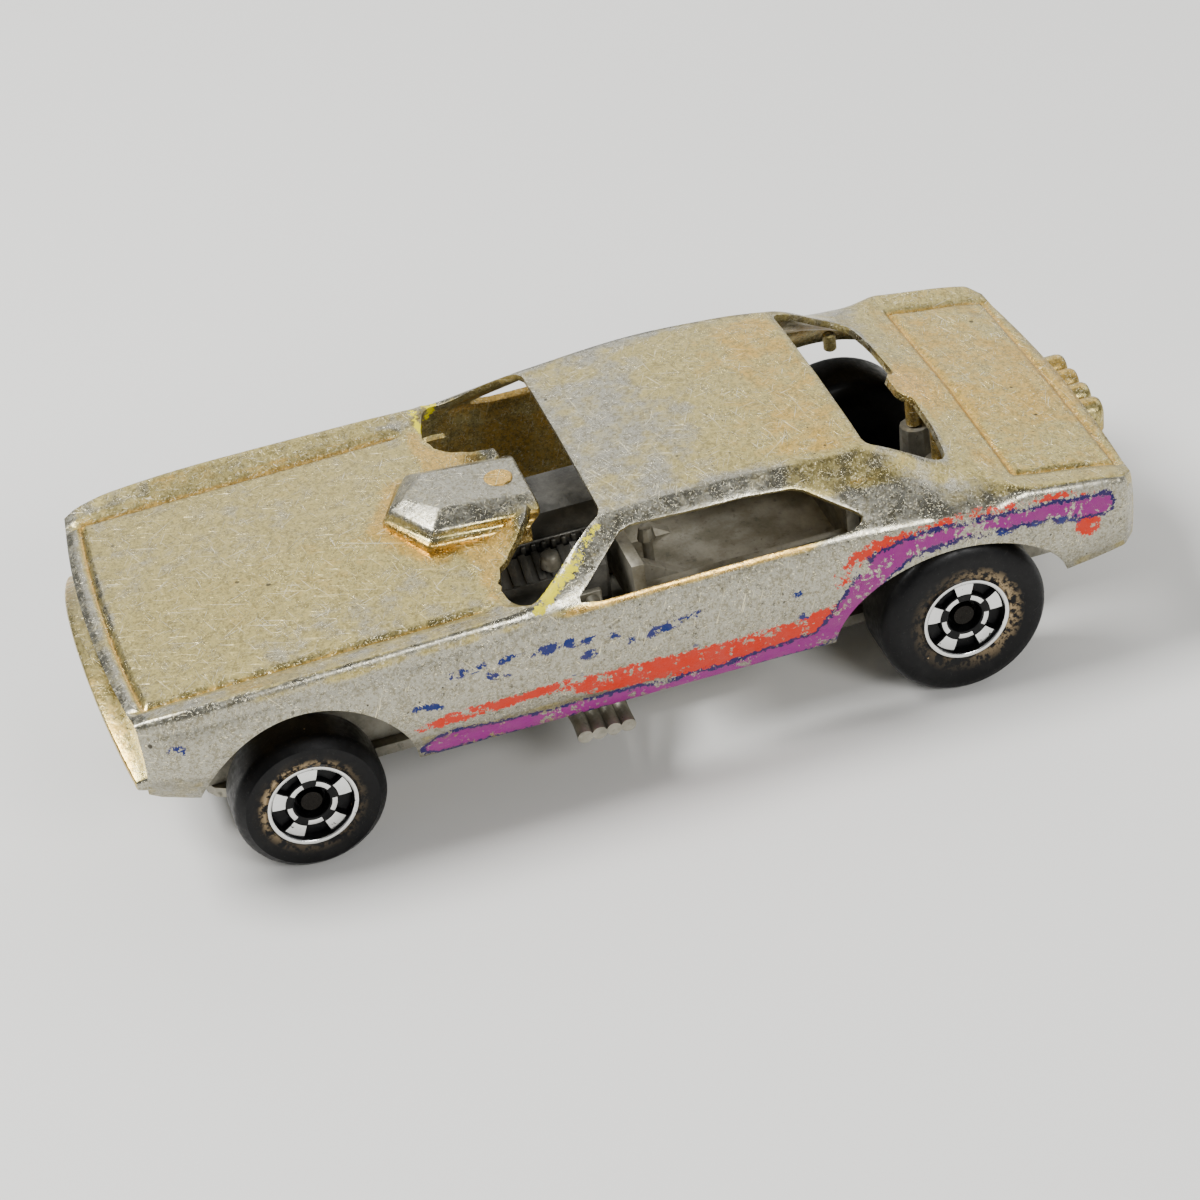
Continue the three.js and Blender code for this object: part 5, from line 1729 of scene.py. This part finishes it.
    def foil_patch(self, profile: list, start: float, end: float, steps: int) -> tuple:
        """Makes one thin closed patch of foil over part of a turn.

        Args:
            profile: radius and depth of each line of points.
            start: first angle.
            end: last angle.
            steps: number of steps between them.

        Returns:
            Points and faces.
        """
        loop = [(r, d - self.foil_mm) for r, d in profile]
        loop += [(r, d + self.foil_mm) for r, d in reversed(profile)]
        angles = np.linspace(start, end, steps + 1)
        rings = [[self.point(r, d, a) for r, d in loop] for a in angles]
        if end - start < 2 * math.pi - 0.01:
            return loft(rings)
        points, faces = loft(rings[:-1])
        count = len(loop)
        faces = [f for f in faces if len(f) == 4]
        last = (steps - 1) * count
        faces += [(last + i, last + (i + 1) % count, (i + 1) % count, i) for i in range(count)]
        return points, faces


# ---- Running gear and engine ----


@dataclass
class Headers:
    """One bank of four exhaust tubes, drawn as paths that Geometry Nodes turns into tubes."""

    node: str
    side: Side
    radius: float = 0.55
    tubes: int = 4
    first_port: float = -8.5
    port_pitch: float = 2.1
    first_end: float = -6.0
    end_pitch: float = 1.05

    def routes(self) -> list[np.ndarray]:
        """Draws the tubes' middle lines, from port to open end.

        Returns:
            Each tube's path in millimetres.
        """
        paths = []
        for i in range(self.tubes):
            port, leaving = self.first_port + i * self.port_pitch, self.first_end + i * self.end_pitch
            # Each tube leaves its port, drops over the frame rail and ends pointing outwards.
            knots = np.array([
                (5.35, port, 10.2), (7.35, port, 9.6), (10.2, port + (leaving - port) * 0.6, 7.4),
                (12.6, leaving, 6.0), (14.88, leaving, 5.6),
            ])
            paths.append(smooth_path(knots * [self.side.value, 1, 1], 12))
        return paths

    def build(self, zinc: bpy.types.Material) -> bpy.types.Object:
        """Makes the bank as one piece and dresses it.

        Args:
            zinc: the bank's material.

        Returns:
            The bank, which replaces its CAD node.
        """
        points: list = []
        edges: list = []
        for path in self.routes():
            start = len(points)
            points += (path * MM).tolist()
            edges += [(start + i, start + i + 1) for i in range(len(path) - 1)]
        mesh = bpy.data.meshes.new(self.node)
        mesh.from_pydata(points, edges, [])
        bank = bpy.data.objects.new(self.node + "_tubes", mesh)
        bpy.context.collection.objects.link(bank)
        grow(bank, tube_tree(), {"Radius": self.radius * MM, "Sides": 24, "Material": zinc})
        near, far = sorted((5.25 * self.side.value, 5.75 * self.side.value))
        flange = block_piece("flange", (near, -9.3, 9.5), (far, -1.4, 10.9), 0.12)
        bank.data.materials.clear()
        mend(bank)
        join_into(bank, flange)
        shade(bank)
        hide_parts(self.node)
        finish_piece(bank, Body.CHASSIS.value, zinc)
        return bank


def smooth_path(knots: np.ndarray, steps: int) -> np.ndarray:
    """Draws a smooth curve through knots.

    Args:
        knots: the points to pass through.
        steps: points from one knot to the next.

    Returns:
        The curve's points.
    """
    padded = np.vstack([2 * knots[0] - knots[1], knots, 2 * knots[-1] - knots[-2]])
    out = []
    for a, b, c, d in zip(padded, padded[1:], padded[2:], padded[3:]):
        for t in np.arange(steps) / steps:
            out.append(0.5 * (2 * b + (c - a) * t + (2 * a - 5 * b + 4 * c - d) * t**2
                              + (3 * b - a - 3 * c + d) * t**3))
    return np.array(out + [knots[-1]])


def block_piece(
    name: str, low: Sequence[float], high: Sequence[float], edge: float
) -> bpy.types.Object:
    """Makes a box with rounded edges.

    Args:
        name: the piece's name.
        low: its lowest corner in millimetres.
        high: its highest corner.
        edge: width of the rounding.

    Returns:
        The box.
    """
    (x0, y0, z0), (x1, y1, z1) = low, high
    piece = mesh_object(name, *loft([
        [(x0, y0, z0), (x1, y0, z0), (x1, y1, z0), (x0, y1, z0)],
        [(x0, y0, z1), (x1, y0, z1), (x1, y1, z1), (x0, y1, z1)],
    ]))
    mend(piece)
    bevel(piece, edge, 3)
    return piece


@dataclass
class Blower:
    """The ribbed blower case with its drive pulley."""

    node: str = "blower"
    pitch: float = 0.75
    front: float = -9.3
    rear: float = -0.6

    def build(self, zinc: bpy.types.Material) -> bpy.types.Object:
        """Makes the blower, its ribs repeated by Geometry Nodes, and dresses it.

        Args:
            zinc: the blower's material.

        Returns:
            The blower, which replaces its CAD node.
        """
        low, high = box_mm(self.node)
        front, rear, base, top = self.front, self.rear, float(low[2]), float(high[2])
        case = block_piece("blower_visual", (-1.7, front, base), (1.7, rear, top), 0.2)
        body = block_piece("upper", (-2.5, front, top - 0.8), (2.5, rear, top), 0.2)
        rib = block_piece("rib", (-2.8, front + 0.2, top - 0.75), (2.8, front + 0.55, top - 0.15), 0.08)
        count = int((rear - front) / self.pitch)
        grow(rib, row_tree(), {"Count": count, "Step": (0.0, self.pitch * MM, 0.0), "Material": zinc})
        shaft = base + 1.1
        pulley = mesh_object("pulley", *round_bar(
            (0, front - 1.2, shaft), (0, front + 0.2, shaft), 1.0, 40))
        mend(pulley)
        rib.data.materials.clear()
        join_into(case, body, rib, pulley)
        shade(case)
        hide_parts(self.node)
        finish_piece(case, Body.CHASSIS.value, zinc)
        return case


@dataclass
class Castings:
    """The zinc castings under the shell, each a softened copy of its CAD solid."""

    nodes: dict[str, float] = field(default_factory=lambda: {
        "engine_block": 0.13, "injector_hat": 0.25, "magneto": 0.08, "interior_tub": 0.14,
    })

    def build(self, finishes: dict[str, bpy.types.Material]) -> None:
        """Makes every casting and dresses it with its own finish.

        Args:
            finishes: each node's material.
        """
        for node, edge in self.nodes.items():
            finish_piece(softened(node, node + "_casting", edge), Body.CHASSIS.value,
                         finishes[node])


@dataclass
class RunningGear:
    """The pieces that stay as CAD: frame, base plate, axles, pin and rivets."""

    zinc_nodes: tuple[str, ...] = ("chassis_frame", "base_plate")
    steel_nodes: tuple[str, ...] = ("hinge_pin", "rivet_front", "rivet_rear")
    axle_nodes: tuple[str, ...] = ("front_axle", "rear_axle")

    def dress(self, zinc: bpy.types.Material, steel: bpy.types.Material, shaded_steel: bpy.types.Material) -> None:
        """Gives each CAD piece its detailed material.

        Args:
            zinc: material of the castings.
            steel: material of the pin and rivets.
            shaded_steel: material of the axles.
        """
        groups = ((self.zinc_nodes, zinc), (self.steel_nodes, steel), (self.axle_nodes, shaded_steel))
        for names, material in groups:
            for name in names:
                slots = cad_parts[name].data.materials
                slots.clear()
                slots.append(material)
                LOG.info("%s: stays as CAD, in %s", name, material.name)


# ---- Setting ----


@dataclass
class Studio:
    """The pale floor, soft lights and camera."""

    place_mm: tuple[float, float, float] = (209.06, -45.32, 152.75)
    azimuth_deg: float = 77.87
    elevation_deg: float = 34.46
    roll_deg: float = -8.4
    lens_mm: float = 107.0
    sensor_mm: float = 36.0
    sky: str = "#E8EAEE"
    sky_strength: float = 0.33

    def build(self) -> None:
        """Makes the whole setting."""
        self.floor()
        self.lights()
        self.camera()

    def floor(self) -> None:
        """Makes a wide plain floor just under the wheels."""
        reach, z = 1500.0, -0.02
        corners = [(-reach, -reach, z), (reach, -reach, z), (reach, reach, z), (-reach, reach, z)]
        ground = mesh_object("floor", np.array(corners), [(0, 1, 2, 3)])
        ground.data.materials.append(PaleFloor().build())

    def lights(self) -> None:
        """Hangs large soft lights over the car and lifts the shade with a pale sky."""
        world = bpy.data.worlds.new("pale_room")
        bpy.context.scene.world = world
        world.use_nodes = True
        sky = world.node_tree.nodes["Background"]
        sky.inputs["Color"].default_value = linear(self.sky)
        sky.inputs["Strength"].default_value = self.sky_strength
        # Name, place and size in metres, and power in watts.
        for name, at, size, power in (
            ("key", (-0.06, -0.24, 0.40), 0.20, 4.0),
            ("fill", (0.40, 0.14, 0.26), 0.16, 1.6),
            ("back", (-0.38, 0.13, 0.27), 0.50, 1.02),
            ("rear", (-0.10, 0.42, 0.30), 0.34, 0.62),
        ):
            data = bpy.data.lights.new(name, "AREA")
            data.size, data.energy = size, power
            lamp = bpy.data.objects.new(name, data)
            lamp.location = at
            toward = Vector((0, 0, 0.01)) - Vector(at)
            lamp.rotation_euler = toward.to_track_quat("-Z", "Y").to_euler()
            bpy.context.collection.objects.link(lamp)

    def camera(self) -> None:
        """Places the camera with its roll about the view direction."""
        a, e, r = (math.radians(v) for v in (self.azimuth_deg, self.elevation_deg, self.roll_deg))
        back = Vector((math.sin(a) * math.cos(e), -math.cos(a) * math.cos(e), math.sin(e)))
        right = Vector((0, 0, 1)).cross(back).normalized()
        up = back.cross(right)
        turned = right * math.cos(r) + up * math.sin(r)
        upright = up * math.cos(r) - right * math.sin(r)
        data = bpy.data.cameras.new("view")
        data.lens, data.sensor_width = self.lens_mm, self.sensor_mm
        data.clip_start, data.clip_end = 0.01, 10.0
        view = bpy.data.objects.new("view", data)
        rows = Matrix((turned, upright, back)).transposed().to_4x4()
        view.matrix_world = Matrix.Translation(Vector(self.place_mm) * MM) @ rows
        bpy.context.collection.objects.link(view)
        bpy.context.scene.camera = view


def main() -> None:
    """Builds every piece in order and dresses it."""
    logging.basicConfig(level=logging.INFO, format="%(message)s")
    # One bare zinc in three tones: the paler copy is painted light on the lit tub floor, and the darker
    # copy is painted shade on the engine and blower under the shell.
    pale = BareZinc(light="#B3AE9F", dark="#86816F").build("bare_zinc_painted_light")
    dark = BareZinc(light="#77756E", dark="#4C4B46", roughness=0.45).build("bare_zinc_painted_shade")
    plain = BareZinc().build("bare_zinc")
    BodyShell().build()
    plastic, foil = WheelPlastic().build(), ChromeFoil().build()
    for node, radius, width, side, dust in (
        ("front_wheel_left", 5.4, 4.2, Side.LEFT, 130.0), ("front_wheel_right", 5.4, 4.2, Side.RIGHT, 60.0),
        ("rear_wheel_left", 6.2, 5.2, Side.LEFT, 10.0), ("rear_wheel_right", 6.2, 5.2, Side.RIGHT, 100.0),
    ):
        Wheel(node, radius, width, side, dust).build(plastic, foil)
    for node, side in (("header_left", Side.LEFT), ("header_right", Side.RIGHT)):
        Headers(node, side).build(plain)
    # The blower, engine block and injector hat take the darker zinc as painted shade; the tub takes the
    # paler zinc as painted light.
    Blower().build(dark)
    Castings().build({"engine_block": dark, "injector_hat": dark, "magneto": plain, "interior_tub": pale})
    # The axles' steel copy is near black: painted shade of the dark hub holes that the axle ends sit in.
    bright, shaded_steel = SteelWire(), SteelWire("#242220", "#171513")
    RunningGear().dress(plain, bright.build("drawn_steel"), shaded_steel.build("axle_steel_painted_shade"))
    Studio().build()


if __name__ == "__main__":
    main()
